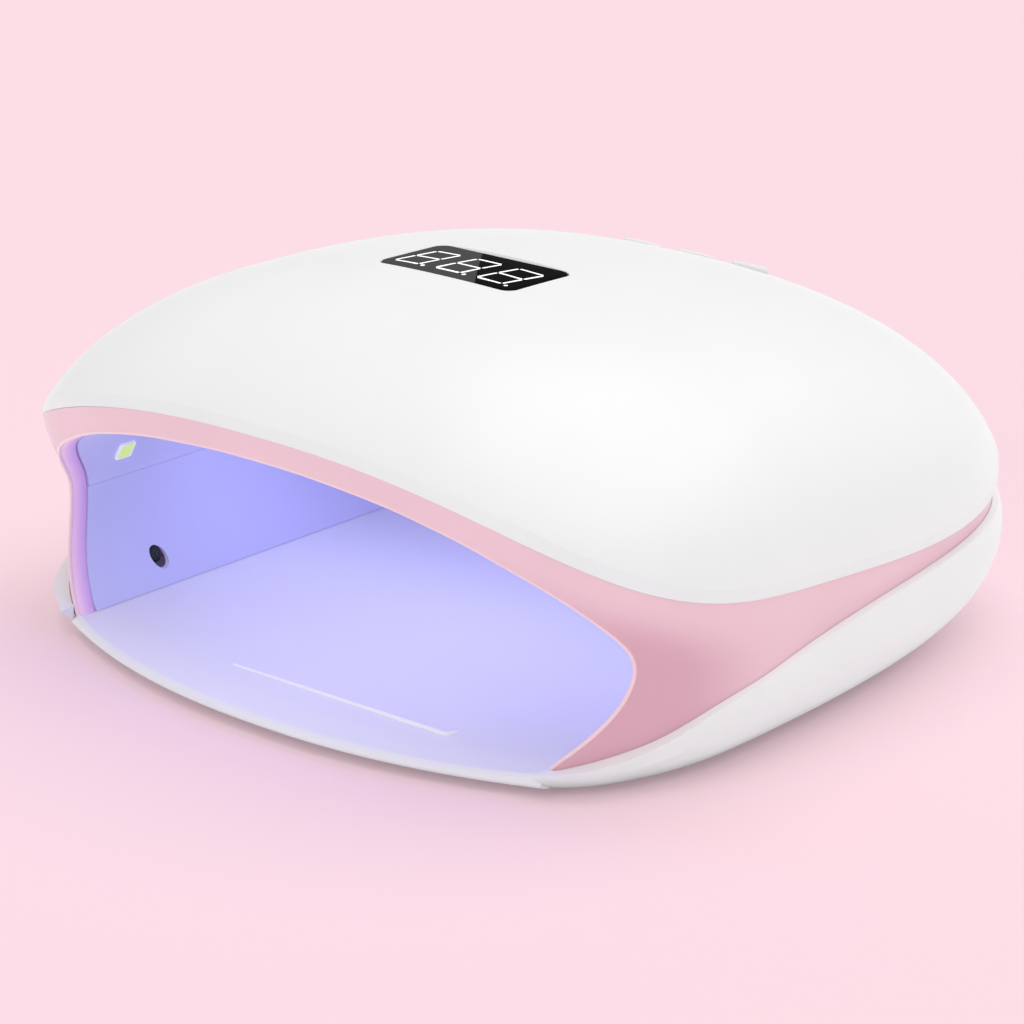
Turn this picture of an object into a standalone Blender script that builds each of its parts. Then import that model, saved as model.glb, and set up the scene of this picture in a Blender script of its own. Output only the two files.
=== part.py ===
"""UV LED nail lamp: domed top, waisted middle frame, winged bottom tub, pull-out base plate.

Millimetres in the named sizes below, metres in the scene. +X is the user's right,
-Y is the side the hand goes in from, +Z is up, and the rubber feet stand on z = 0.
"""

from math import atan2, cos, exp, hypot, pi, radians, sin

import bmesh
import bpy
from mathutils import Matrix, Vector

MM = 0.001
GAP = 0.3
HIDDEN_GAP = 1.05

# Plan outline: a superellipse whose front and rear halves have their own depth.
HALF_WIDTH = 110.0
FRONT_DEPTH = 87.5
REAR_DEPTH = 128.0
TUB_FRONT_DEPTH = 86.5
WIDEST_Y = -23.8
PLAN_POWER = 3.45
COLUMNS = 88

# Upright profile: the dome above the widest height, the tub below it.
WIDEST_Z = 29.0
DOME_RISE = 67.6
DOME_PLAN_POWER = 2.244
DOME_RISE_POWER = 2.563
CROWN_ROUNDING = 1.1
DOME_LEAN = 0.02
TUB_DROP = 46.5
TUB_POWER = 2.58

# Lower rim of the dome: an arch across the front that falls towards the rear.
RIM_Z = 71.8
RIM_ARCH = 24.6
RIM_POWER = 2.51
RIM_FALL = 0.077
RIM_START_Y = -103.8
LIP_HEIGHT = 2.4
LIP_SET_IN = 1.1
TOP_WALL = 2.2

# Wing edge of the tub, seen from the side: it rises fast at the front and levels off.
WING_TOP_Z = 34.4
WING_RISE = 26.6
WING_START_Y = -87.5
WING_LENGTH = 46.0
WING_DIP = 1.8
WING_DIP_Y = -71.5
WING_DIP_LENGTH = 12.0
LEDGE_WIDTH = 3.0
LEDGE_NIP = 1.5
LEDGE_NIP_DEPTH = 7.0
CORNER_TUCK = 1.0
CORNER_TUCK_LOW = 1.2
WING_END_Y = 72.0
WING_END_LENGTH = 30.0
LEDGE_FALL = 0.7
EDGE_NIP = 0.5
TUB_BOTTOM_Z = 1.5
TUB_FLANGE_Z = 4.6
TUB_OPENING_HALF = 73.0
TUB_OPENING_REAR = 80.0
WELL_POWER = 6.0

# Middle frame: recessed under the dome's lip, drawn in to a waist.
FRAME_RECESS = 1.8
FRAME_WALL = 2.4
FRAME_BOTTOM_Z = 4.9
WAIST_DEPTH = 18.0
WAIST_HALF = 101.3
WAIST_FRONT = 72.9
WAIST_END_Y = -79.5
WAIST_BLEND = 40.0
BEZEL_WALL = 2.0

# Hand chamber
CHAMBER_PART_Z = 31.0
CHAMBER_REAR_Y = 54.0
LINER_WALL = 1.5
LINER_BOTTOM_Z = 4.9

# Base plate
PLATE_HALF = 77.9
PLATE_REAR_Y = 60.0
PLATE_TOP_Z = 4.4
PLATE_UNDER_Z = 3.0
NOSE_Y = -104.2
NOSE_SAG = 16.3
NOSE_POWER = 2.2

# Display and buttons
WINDOW_X = -0.9
WINDOW_WIDTH = 42.8
WINDOW_DEPTH = 23.6
WINDOW_CORNER = 3.0
WINDOW_THICK = 1.6
WINDOW_Y = -21.2
BUTTON_WIDTH = 10.6
BUTTON_DEPTH = 4.8
BUTTON_PITCH = 18.0
BUTTON_PROUD = 0.9
BUTTON_Y = 65.1
BUTTON_TRAVEL = 0.8

parts = bpy.data.collections.new("uv_led_nail_lamp")
cutters = bpy.data.collections.new("cutters")


def clear_scene():
    for obj in list(bpy.data.objects):
        bpy.data.objects.remove(obj, do_unlink=True)
    for collection in (parts, cutters):
        bpy.context.scene.collection.children.link(collection)
    cutters.hide_render = True


# ---------------------------------------------------------------- materials

LOOKS = {
    "white_gloss": ((0.86, 0.86, 0.87), 0.22),
    "pink_satin": ((0.80, 0.50, 0.57), 0.38),
    "liner_white": ((0.82, 0.82, 0.90), 0.30),
    "black_glass": ((0.012, 0.012, 0.014), 0.06),
    "digit_white": ((0.75, 0.75, 0.76), 0.45),
    "led_package": ((0.80, 0.80, 0.55), 0.35),
    "board_green": ((0.03, 0.22, 0.10), 0.50),
    "board_white": ((0.70, 0.71, 0.72), 0.45),
    "black_plastic": ((0.03, 0.03, 0.035), 0.45),
    "rubber_grey": ((0.16, 0.15, 0.15), 0.80),
    "steel": ((0.55, 0.55, 0.56), 0.28),
}


def look(name):
    """One Principled material for each finish, shared by the parts that have it."""
    if name in bpy.data.materials:
        return bpy.data.materials[name]
    colour, roughness = LOOKS[name]
    made = bpy.data.materials.new(name)
    made.use_nodes = True
    shader = made.node_tree.nodes["Principled BSDF"]
    shader.inputs["Base Color"].default_value = (*colour, 1.0)
    shader.inputs["Roughness"].default_value = roughness
    shader.inputs["Metallic"].default_value = 1.0 if name == "steel" else 0.0
    made.diffuse_color = (*colour, 1.0)
    return made


# ---------------------------------------------------------------- mesh helpers


def place(mesh, name, finish=None):
    """Puts a mesh in the scene: as a part when it has a finish, as a cutter when it has none."""
    obj = bpy.data.objects.new(name, mesh)
    if finish:
        parts.objects.link(obj)
        mesh.materials.append(look(finish))
    else:
        cutters.objects.link(obj)
        obj.hide_render = True
        obj.display_type = "WIRE"
    return obj


def from_faces(name, points, faces, finish=None):
    mesh = bpy.data.meshes.new(name)
    mesh.from_pydata([Vector(p) * MM for p in points], [], faces)
    work = bmesh.new()
    work.from_mesh(mesh)
    bmesh.ops.recalc_face_normals(work, faces=work.faces)
    work.to_mesh(mesh)
    work.free()
    return place(mesh, name, finish)


def bridge(rings, closed):
    """Quads between neighbouring rings of equal length; closed also joins the last to the first."""
    size = len(rings[0])
    faces = []
    last = len(rings) if closed else len(rings) - 1
    for r in range(last):
        below = r * size
        above = ((r + 1) % len(rings)) * size
        for k in range(size):
            after = (k + 1) % size
            faces.append((below + k, below + after, above + after, above + k))
    return faces


def ring_solid(name, rings, finish=None):
    """A hoop: rings run round its section and the last meets the first."""
    points = [p for ring in rings for p in ring]
    return from_faces(name, points, bridge(rings, True), finish)


def capped_solid(name, rings, first_pole, last_pole, finish=None):
    """A cup or lens: rings from one pole to the other, each end closed by a fan."""
    size = len(rings[0])
    points = [p for ring in rings for p in ring] + [first_pole, last_pole]
    faces = bridge(rings, False)
    start = (len(rings) - 1) * size
    for k in range(size):
        after = (k + 1) % size
        faces.append((after, k, len(points) - 2))
        faces.append((start + k, start + after, len(points) - 1))
    return from_faces(name, points, faces, finish)


def station_solid(name, stations, finish=None):
    """A bar: the same polygon at each station, with flat ends."""
    size = len(stations[0])
    points = [p for station in stations for p in station]
    faces = bridge(stations, False)
    faces.append(tuple(range(size))[::-1])
    faces.append(tuple(range((len(stations) - 1) * size, len(stations) * size)))
    return from_faces(name, points, faces, finish)


def boolean(target, operation, other):
    """Applies an exact Boolean at once, so that the part holds plain geometry."""
    step = target.modifiers.new(operation.lower(), "BOOLEAN")
    step.operation = operation
    step.solver = "EXACT"
    step.object = other
    graph = bpy.context.evaluated_depsgraph_get()
    graph.update()
    done = bpy.data.meshes.new_from_object(target.evaluated_get(graph))
    target.modifiers.clear()
    work = bmesh.new()
    work.from_mesh(done)
    bmesh.ops.remove_doubles(work, verts=work.verts, dist=0.002 * MM)
    bmesh.ops.dissolve_degenerate(work, dist=0.001 * MM, edges=work.edges)
    work.to_mesh(done)
    work.free()
    old = target.data
    target.data = done
    bpy.data.meshes.remove(old)
    mesh = other.data
    bpy.data.objects.remove(other)
    bpy.data.meshes.remove(mesh)
    return target


def box(name, low, high, finish=None):
    work = bmesh.new()
    bmesh.ops.create_cube(work, size=1.0)
    for vert in work.verts:
        for axis in range(3):
            vert.co[axis] = (low[axis] + high[axis]) / 2 + vert.co[axis] * (high[axis] - low[axis])
            vert.co[axis] *= MM
    mesh = bpy.data.meshes.new(name)
    work.to_mesh(mesh)
    work.free()
    return place(mesh, name, finish)


def cylinder(name, centre, radius, length, axis="Z", sides=24, finish=None, top_radius=None):
    """centre is the middle of the cylinder; axis Z or Y."""
    work = bmesh.new()
    bmesh.ops.create_cone(
        work,
        cap_ends=True,
        segments=sides,
        radius1=radius * MM,
        radius2=(radius if top_radius is None else top_radius) * MM,
        depth=length * MM,
    )
    if axis == "Y":
        bmesh.ops.rotate(work, verts=work.verts, matrix=Matrix.Rotation(-pi / 2, 3, "X"))
    if axis == "X":
        bmesh.ops.rotate(work, verts=work.verts, matrix=Matrix.Rotation(pi / 2, 3, "Y"))
    bmesh.ops.translate(work, verts=work.verts, vec=Vector(centre) * MM)
    mesh = bpy.data.meshes.new(name)
    work.to_mesh(mesh)
    work.free()
    return place(mesh, name, finish)


def bevelled(obj, width, segments=2, angle=40.0):
    """Rounds the sharp edges of a part and applies the result."""
    step = obj.modifiers.new("edge", "BEVEL")
    step.width = width * MM
    step.segments = segments
    step.limit_method = "ANGLE"
    step.angle_limit = radians(angle)
    graph = bpy.context.evaluated_depsgraph_get()
    graph.update()
    done = bpy.data.meshes.new_from_object(obj.evaluated_get(graph))
    obj.modifiers.clear()
    old = obj.data
    obj.data = done
    bpy.data.meshes.remove(old)
    return obj


def rounded_outline(width, depth, corner, steps=5):
    """Points of a rounded rectangle round the origin, counter-clockwise."""
    points = []
    for quarter, (sx, sy) in enumerate(((1, 1), (-1, 1), (-1, -1), (1, -1))):
        for k in range(steps + 1):
            turn = (quarter + k / steps) * pi / 2
            points.append(
                (
                    sx * (width / 2 - corner) + corner * cos(turn),
                    sy * (depth / 2 - corner) + corner * sin(turn),
                )
            )
    return points


def prism(name, outline, low, high, finish=None):
    """An upright prism on a closed outline of (x, y)."""
    rings = [[(x, y, z) for x, y in outline] for z in (low, high)]
    return station_solid(name, rings, finish)


def along_y(name, outline, near, far, finish=None):
    """A prism along Y on a closed outline of (x, z)."""
    rings = [[(x, y, z) for x, z in outline] for y in (near, far)]
    return station_solid(name, rings, finish)


# ---------------------------------------------------------------- body surfaces


def angles():
    return [2 * pi * k / COLUMNS for k in range(COLUMNS)]


def reach(turn, half_width, front, rear, power=PLAN_POWER):
    """Distance from the plan centre to a superellipse in one direction."""
    depth = front if sin(turn) < 0 else rear
    across = abs(cos(turn)) / half_width
    along = abs(sin(turn)) / depth
    return (across**power + along**power) ** (-1 / power)


def spot(turn, radius, z):
    return (radius * cos(turn), WIDEST_Y + radius * sin(turn), z)


def dome_share(z):
    """Share of the plan outline that the dome fills at a height."""
    rise = min(max((z - WIDEST_Z) / DOME_RISE, 0.0), 1.0)
    return (1 - rise**DOME_RISE_POWER) ** (1 / DOME_PLAN_POWER)


def dome_z(x, y):
    """Height of the dome: its plan outline grows rounder, and leans forward, as it rises."""
    depth = FRONT_DEPTH if y < WIDEST_Y else REAR_DEPTH
    low, high = 0.0, 1.0
    for _ in range(30):
        rise = (low + high) / 2
        power = PLAN_POWER - CROWN_ROUNDING * rise
        plan = abs(x / HALF_WIDTH) ** power + abs((y - WIDEST_Y) / depth) ** power
        inside = plan ** (1 / power) < (1 - rise**DOME_RISE_POWER) ** (1 / DOME_PLAN_POWER)
        low, high = (rise, high) if inside else (low, rise)
    return WIDEST_Z + DOME_RISE * low - DOME_LEAN * low * (y - WIDEST_Y)


def dome_radius(turn, z):
    """Distance from the plan centre to the dome at a height."""
    rise = min(max((z - WIDEST_Z) / DOME_RISE, 0.0), 1.0)
    full = reach(turn, HALF_WIDTH, FRONT_DEPTH, REAR_DEPTH, PLAN_POWER - CROWN_ROUNDING * rise)
    radius = full * dome_share(z)
    back = radius * sin(turn)
    rise = min(max((z + DOME_LEAN * rise * back - WIDEST_Z) / DOME_RISE, 0.0), 1.0)
    full = reach(turn, HALF_WIDTH, FRONT_DEPTH, REAR_DEPTH, PLAN_POWER - CROWN_ROUNDING * rise)
    return full * dome_share(WIDEST_Z + rise * DOME_RISE)


def tub_share(z):
    drop = min(max((WIDEST_Z - z) / TUB_DROP, 0.0), 0.99)
    return (1 - drop**TUB_POWER) ** 0.5


def tub_radius(turn, z):
    """Outside of the tub: its own profile below the widest height, the dome's above it.

    The rear corners are drawn in a little under the dome.
    """
    corner = (2 * max(sin(turn), 0.0) * cos(turn)) ** 2
    tuck = corner * (CORNER_TUCK + CORNER_TUCK_LOW * smooth((34.0 - z) / 22.0))
    if z >= WIDEST_Z:
        return dome_radius(turn, z) - tuck
    return tub_share(z) * reach(turn, HALF_WIDTH, TUB_FRONT_DEPTH, REAR_DEPTH) - tuck


def ledge_fall(ledge):
    """Drop from the ledge's inner line to its edge, none where the wing is at its lowest."""
    return LEDGE_FALL * smooth((ledge - 7.0) / 6.0)


def tub_side(turn, z):
    """The tub's outer face, drawn in towards its ledge so that only a narrow ledge shows."""
    below = max(wing_z(turn) - z, 0.0)
    return tub_radius(turn, z) - LEDGE_NIP * exp(-below / LEDGE_NIP_DEPTH)


def rim_z(x, y):
    return RIM_Z - RIM_ARCH * abs(x / HALF_WIDTH) ** RIM_POWER - RIM_FALL * (y - RIM_START_Y)


def rim_at(turn, lift=0.0):
    """(radius, z) where the dome meets its lower rim, or a line lift above it."""
    radius = 100.0
    for _ in range(40):
        x, y, _ = spot(turn, radius, 0)
        radius = (radius + dome_radius(turn, rim_z(x, y) + lift)) / 2
    x, y, _ = spot(turn, radius, 0)
    return radius, rim_z(x, y) + lift


def wing_z(turn):
    """Height of the ledge's inner line on the tub, never above the dome's rim."""
    radius, top = rim_at(turn)
    z = WIDEST_Z
    for _ in range(20):
        y = spot(turn, tub_radius(turn, z), 0)[1]
        z = WING_TOP_Z - WING_RISE * exp(-(y - WING_START_Y) / WING_LENGTH)
        z -= WING_DIP * exp(-(((y - WING_DIP_Y) / WING_DIP_LENGTH) ** 2))
        z += (top - z) * smooth((y - WING_END_Y) / WING_END_LENGTH)
        z = min(max(z, 7.0), top - 2 * GAP)
    return z


def smooth(t):
    t = min(max(t, 0.0), 1.0)
    return t * t * (3 - 2 * t)


def frame_radius(turn, z):
    """Outside of the middle frame: from under the lip in to the waist, or to the tub's ledge."""
    rim_radius, top = rim_at(turn)
    ledge = wing_z(turn)
    waist = tub_radius(turn, ledge) - LEDGE_WIDTH - GAP
    if sin(turn) < 0:
        narrow = reach(turn, WAIST_HALF, WAIST_FRONT, REAR_DEPTH)
        widen = smooth((spot(turn, waist, 0)[1] - WAIST_END_Y) / WAIST_BLEND)
        waist = min(waist, narrow + (waist - narrow) * widen)
    depth = max(min(WAIST_DEPTH, top - ledge), 1.0)
    start = rim_radius - FRAME_RECESS
    if start > waist:
        start = waist + (start - waist) * smooth((top - ledge - 2 * GAP) / 12.0)
    radius = start + (waist - start) * smooth((top - z) / depth)
    if z < ledge:
        radius = min(radius, tub_radius(turn, z) - LEDGE_WIDTH - GAP)
    return radius


# ---------------------------------------------------------------- shells


def top_shell():
    """Domed cover with a bevelled lip, its window cut-out and three button holes."""
    edge = [rim_at(turn, LIP_HEIGHT) for turn in angles()]
    low = [rim_at(turn) for turn in angles()]
    rings = []
    for share in (0.10, 0.24, 0.38, 0.51, 0.63, 0.74, 0.83, 0.90, 0.95, 0.98):
        ring = []
        for turn, (radius, _) in zip(angles(), edge):
            x, y, _ = spot(turn, share * radius, 0)
            ring.append((x, y, dome_z(x, y)))
        rings.append(ring)
    rings.append([spot(t, r, z) for t, (r, z) in zip(angles(), edge)])
    rings.append([spot(t, r - LIP_SET_IN, z) for t, (r, z) in zip(angles(), low)])
    rings.append([spot(t, r - LIP_SET_IN - 1.6, z) for t, (r, z) in zip(angles(), low)])
    for share in (0.955, 0.85, 0.70, 0.50, 0.25):
        ring = []
        for turn, (radius, _) in zip(angles(), edge):
            x, y, _ = spot(turn, share * (radius - TOP_WALL), 0)
            slope = hypot(dome_z(x + 1, y) - dome_z(x, y), dome_z(x, y + 1) - dome_z(x, y))
            ring.append((x, y, dome_z(x, y) - TOP_WALL * hypot(1, min(slope, 2.0))))
        rings.append(ring)
    crown = (0, WIDEST_Y, dome_z(0, WIDEST_Y))
    under = (0, WIDEST_Y, dome_z(0, WIDEST_Y) - TOP_WALL)
    shell = capped_solid("top_shell", rings, crown, under, "white_gloss")
    hole = rounded_outline(WINDOW_WIDTH + 2 * GAP, WINDOW_DEPTH + 2 * GAP, WINDOW_CORNER + GAP)
    moved = [(x + WINDOW_X, y + WINDOW_Y) for x, y in hole]
    boolean(shell, "DIFFERENCE", prism("window_cut", moved, 80, 110))
    for k in (-1, 0, 1):
        cut = prism(
            "button_cut",
            rounded_outline(BUTTON_WIDTH + 2 * GAP, BUTTON_DEPTH + 2 * GAP, 1.6 + GAP, 4),
            -9,
            9,
        )
        cut.data.transform(button_frame(k))
        boolean(shell, "DIFFERENCE", cut)
    return shell


UPPER_SHARES = (0.0, 0.14, 0.30, 0.48, 0.68, 0.86)
LOWER_SHARES = (0.0, 0.3, 0.6, 1.0)


def frame_ring(heights, offset):
    return [spot(t, frame_radius(t, z) + offset, z) for t, z in zip(angles(), heights)]


def middle_frame():
    """Waisted band between dome and tub, open at the front for the hand."""
    outer = []
    inner = []
    for share in UPPER_SHARES:
        heights = []
        for turn in angles():
            top = rim_at(turn)[1] - GAP
            heights.append(top + (wing_z(turn) - top) * share)
        outer.append(frame_ring(heights, 0.0))
        inner.append(frame_ring(heights, -FRAME_WALL))
    for share in LOWER_SHARES:
        heights = [wing_z(turn) + (FRAME_BOTTOM_Z - wing_z(turn)) * share for turn in angles()]
        outer.append(frame_ring(heights, 0.0))
        inner.append(frame_ring(heights, -FRAME_WALL))
    frame = ring_solid("middle_frame", outer + inner[::-1], "pink_satin")
    mouth = along_y("mouth_cut", mouth_outline(), -140, WIDEST_Y - 5)
    boolean(frame, "DIFFERENCE", mouth)
    boolean(frame, "DIFFERENCE", inlet_bore())
    return frame


MOUTH_TOP_Z = 65.1
# Half width of the mouth at heights above the table, from the floor up to the crown.
MOUTH = (
    (73.5, 0.0),
    (76.0, 4.0),
    (79.4, 8.3),
    (83.0, 12.0),
    (86.4, 16.0),
    (89.4, 20.6),
    (91.4, 25.6),
    (92.2, 31.0),
    (91.0, 36.4),
    (88.0, 41.6),
    (83.4, 46.6),
    (77.6, 50.6),
    (70.4, 54.2),
    (61.4, 57.8),
    (51.0, 60.6),
    (40.0, 62.7),
    (28.0, 64.0),
    (14.0, 64.9),
)


def mouth_outline(grow=0.0):
    right = [(x + grow, z) for x, z in MOUTH]
    right[0] = (right[0][0], -5.0)
    left = [(-x, z) for x, z in right[::-1]]
    return right + [(0.0, MOUTH_TOP_Z)] + left


def chamber_side(low, high, offset):
    """Right side of the chamber's section between two heights, pushed out by an offset."""
    points = []
    for k, (x, z) in enumerate(MOUTH):
        before = MOUTH[max(k - 1, 0)]
        after = MOUTH[k + 1] if k + 1 < len(MOUTH) else (0.0, MOUTH_TOP_Z)
        away = Vector((after[1] - before[1], before[0] - after[0])).normalized()
        if low <= z <= high:
            points.append((x + away.x * offset, z + away.y * offset))
    return points


def inner_bezel():
    """Second skin behind the front of the middle frame, which closes it up to the chamber."""
    outer = []
    inner = []
    for share in (0.0, 0.16, 0.38, 0.68, 1.0):
        out_ring = []
        in_ring = []
        for turn in angles():
            top = rim_at(turn)[1] - 1.5
            z = top + (FRAME_BOTTOM_Z - top) * share
            radius = frame_radius(turn, z) - FRAME_WALL - 2 * GAP
            out_ring.append(spot(turn, radius, z))
            in_ring.append(spot(turn, radius - BEZEL_WALL, z))
        outer.append(out_ring)
        inner.append(in_ring)
    bezel = ring_solid("inner_bezel", outer + inner[::-1], "pink_satin")
    boolean(bezel, "INTERSECT", box("front_half", (-140, -140, -10), (140, WIDEST_Y - 12, 120)))
    boolean(bezel, "DIFFERENCE", along_y("chamber_cut", mouth_outline(), -140, WIDEST_Y))
    return bezel


def inside_outline(shrink):
    """Plan outline just inside the bezel, for trimming the liner's front."""
    points = []
    for turn in angles():
        radius = min(frame_radius(turn, z) for z in (LINER_BOTTOM_Z, 8.0, 20.0, 35.0))
        if sin(turn) > 0:
            radius = reach(turn, HALF_WIDTH, FRONT_DEPTH, REAR_DEPTH)
        x, y, _ = spot(turn, radius - shrink, 0)
        points.append((x, y))
    return points


def trimmed(obj):
    shrink = FRAME_WALL + GAP + BEZEL_WALL + GAP
    return boolean(obj, "INTERSECT", prism("front_trim", inside_outline(shrink), -10, 120))


def side_liner():
    """Side walls and rear wall of the chamber in one piece, with the two sensor holes."""
    top = CHAMBER_PART_Z - GAP / 2
    inner = [(x, min(max(z, LINER_BOTTOM_Z), top)) for x, z in chamber_side(3.0, CHAMBER_PART_Z, 0.0)]
    outer = [(x, z) for (x, _), (_, z) in zip(chamber_side(3.0, CHAMBER_PART_Z, LINER_WALL), inner)]
    back = CHAMBER_REAR_Y + LINER_WALL
    section = inner + outer[::-1]
    liner = along_y("side_liner", section, -100, back, "liner_white")
    boolean(liner, "UNION", along_y("other_side", [(-x, z) for x, z in section], -100, back))
    rear = inner + [(-x, z) for x, z in inner[::-1]]
    boolean(liner, "UNION", along_y("rear_wall", grown(rear, 0.5), CHAMBER_REAR_Y, back - 0.1))
    trimmed(liner)
    boolean(liner, "DIFFERENCE", cylinder("eye_cut", (0, SENSOR_Y, SENSOR_Z), 2.6, 200, "X", 28))
    return liner


def grown(outline, extra):
    """Widens an outline of (x, z) so that it bites into the walls beside it."""
    return [(x + (extra if x > 0 else -extra), z) for x, z in outline]


SENSOR_Y = -53.8
SENSOR_Z = 10.6


def ceiling_reflector():
    """Arched ceiling with a closed rear end and a square hole for each lamp."""
    foot = CHAMBER_PART_Z + GAP / 2
    inner = [(x, max(z, foot)) for x, z in chamber_side(CHAMBER_PART_Z, 99.0, 0.0)]
    outer = [(x, max(z, foot)) for x, z in chamber_side(CHAMBER_PART_Z, 99.0, LINER_WALL)]
    inner_all = inner + [(0.0, MOUTH_TOP_Z)] + [(-x, z) for x, z in inner[::-1]]
    crown = (0.0, MOUTH_TOP_Z + LINER_WALL)
    outer_all = outer + [crown] + [(-x, z) for x, z in outer[::-1]]
    back = CHAMBER_REAR_Y + LINER_WALL
    arch = along_y("ceiling_reflector", outer_all + inner_all[::-1], -100, back, "liner_white")
    end = [(x * 1.006, z + 0.5 if z > foot else z) for x, z in inner_all]
    boolean(arch, "UNION", along_y("end_wall", end, CHAMBER_REAR_Y, back - 0.1))
    trimmed(arch)
    for strip, spots in STRIPS.items():
        for y in spots:
            cut = box("lamp_cut", (-3.2, -3.2, -6), (3.2, 3.2, 6))
            cut.data.transform(lamp_frame(strip, y))
            boolean(arch, "DIFFERENCE", cut)
    return arch


def bottom_shell():
    """Tub with raised wings, a floor flange with rails for the base plate, open at the front."""
    rings = []
    ledge = [wing_z(turn) for turn in angles()]
    edge = [z - ledge_fall(z) for z in ledge]
    rings.append([spot(t, tub_side(t, z) - EDGE_NIP, z) for t, z in zip(angles(), edge)])
    for share in (0.0, 0.10, 0.24, 0.40, 0.56, 0.70, 0.82, 0.92, 1.0):
        ring = []
        for turn, top in zip(angles(), edge):
            z = top - EDGE_NIP + (TUB_BOTTOM_Z - top + EDGE_NIP) * share
            ring.append(spot(turn, tub_side(turn, z), z))
        rings.append(ring)
    well = [
        min(
            reach(turn, TUB_OPENING_HALF, TUB_OPENING_REAR, TUB_OPENING_REAR, WELL_POWER),
            tub_radius(turn, TUB_BOTTOM_Z) - 5.0,
        )
        for turn in angles()
    ]
    rings.append([spot(t, r, TUB_BOTTOM_Z) for t, r in zip(angles(), well)])
    rings.append([spot(t, r, TUB_FLANGE_Z) for t, r in zip(angles(), well)])
    rings.append(frame_ring([TUB_FLANGE_Z] * COLUMNS, HIDDEN_GAP))
    for share in LOWER_SHARES[:0:-1]:
        rings.append(frame_ring([z + (FRAME_BOTTOM_Z - z) * share for z in ledge], HIDDEN_GAP))
    rings.append(frame_ring(ledge, 1.2 * GAP))
    tub = ring_solid("bottom_shell", rings, "white_gloss")
    side = PLATE_HALF + GAP
    boolean(tub, "DIFFERENCE", box("front_cut", (-side, -140, -10), (side, -60, 60)))
    slot_side = side + 0.1
    slot_rear = PLATE_REAR_Y + 2 * GAP
    boolean(tub, "DIFFERENCE", box("channel_cut", (-slot_side, -62, 2.7), (slot_side, slot_rear, 5.4)))
    boolean(tub, "DIFFERENCE", inlet_bore())
    for x, y in SCREWS:
        boolean(tub, "DIFFERENCE", cylinder("head_cut", (x, y, 1.0), 2.9, 4.0, sides=20))
        boolean(tub, "DIFFERENCE", cylinder("shank_cut", (x, y, 4.0), 1.6, 8.0, sides=14))
    return tub


SCREWS = ((-84.0, -42.0), (84.0, -42.0), (-66.0, 68.0), (66.0, 68.0))
FEET = (
    (-83.5, -58.0),
    (83.5, -58.0),
    (-87.0, -24.0),
    (87.0, -24.0),
    (-50.0, 73.0),
    (50.0, 73.0),
)


# ---------------------------------------------------------------- base plate


def base_plate():
    """Slide-out floor: a thin plate whose front is a bowed, rounded nose, with one low rib."""
    stations = []
    count = 26
    for k in range(count + 1):
        x = -PLATE_HALF + 2 * PLATE_HALF * k / count
        bow = abs(x / PLATE_HALF) ** NOSE_POWER
        nose = NOSE_Y + NOSE_SAG * bow
        crest = PLATE_TOP_Z + 0.3 + 1.0 * bow**3
        profile = (
            (PLATE_REAR_Y, PLATE_UNDER_Z),
            (nose + 10.0, PLATE_UNDER_Z),
            (nose + 9.0, 2.0),
            (nose + 2.6, 1.9),
            (nose + 0.9, 2.4),
            (nose, 3.3),
            (nose + 0.2, crest - 0.7),
            (nose + 0.9, crest - 0.2),
            (nose + 1.9, crest),
            (nose + 6.5, PLATE_TOP_Z),
            (PLATE_REAR_Y, PLATE_TOP_Z),
        )
        stations.append([(x, y, z) for y, z in profile])
    plate = station_solid("base_plate", stations, "white_gloss")
    for side in (-1, 1):
        corner = box("under_frame", (76.4, -140, PLATE_TOP_Z + 0.1), (90, 140, 12))
        corner.data.transform(Matrix.Rotation(pi, 4, "Z") if side < 0 else Matrix())
        boolean(plate, "DIFFERENCE", corner)
    rib = box("rib", (-26.0, -81.1, PLATE_TOP_Z - 0.6), (43.0, -79.9, PLATE_TOP_Z + 0.8))
    boolean(plate, "UNION", rib)
    hook = box("hook", (41.8, -80.7, PLATE_TOP_Z - 0.5), (43.3, -76.9, PLATE_TOP_Z + 0.7))
    boolean(plate, "UNION", hook)
    return plate


# ---------------------------------------------------------------- lamps

# Lamps on each strip: across position on the ceiling arch, then the places along it.
STRIPS = {
    "far_left": (-57.0, -25.0, 7.0, 39.0),
    "left": (-54.0, -16.0, 22.0),
    "middle": (-54.0, -16.0, 22.0),
    "right": (-54.0, -16.0, 22.0),
    "far_right": (-57.0, -25.0, 7.0, 39.0),
}
ACROSS = {"far_left": -89.6, "left": -56.0, "middle": 0.0, "right": 56.0, "far_right": 89.6}


def ceiling_z(x):
    """Height of the ceiling above a distance from the middle."""
    arch = [point for point in MOUTH if point[1] >= CHAMBER_PART_Z] + [(0.0, MOUTH_TOP_Z)]
    for (x1, z1), (x2, z2) in zip(arch, arch[1:]):
        if x2 <= abs(x) <= x1:
            return z1 + (z2 - z1) * (x1 - abs(x)) / (x1 - x2)
    return arch[0][1]


def lamp_frame(strip, y):
    """Places a piece on the ceiling: its -Z faces the hand, its origin is on the ceiling."""
    x = ACROSS[strip]
    slope = ceiling_z(x + 0.4) - ceiling_z(x - 0.4)
    spin = Matrix.Rotation(-atan2(slope, 0.8), 4, "Y")
    return Matrix.Translation(Vector((x, y, ceiling_z(x))) * MM) @ spin


def lamp(name, strip, y):
    """Square package with a raised frame and a domed die, seated through the reflector."""
    body = box(name, (-2.6, -2.6, -0.7), (2.6, 2.6, 2.6), "led_package")
    pit = box("pit", (-1.9, -1.9, -2.0), (1.9, 1.9, -0.35))
    boolean(body, "DIFFERENCE", pit)
    die = cylinder("die", (0, 0, -0.2), 0.8, 1.1, sides=12, top_radius=1.5)
    boolean(body, "UNION", die)
    body.data.transform(lamp_frame(strip, y))
    return body


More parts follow.
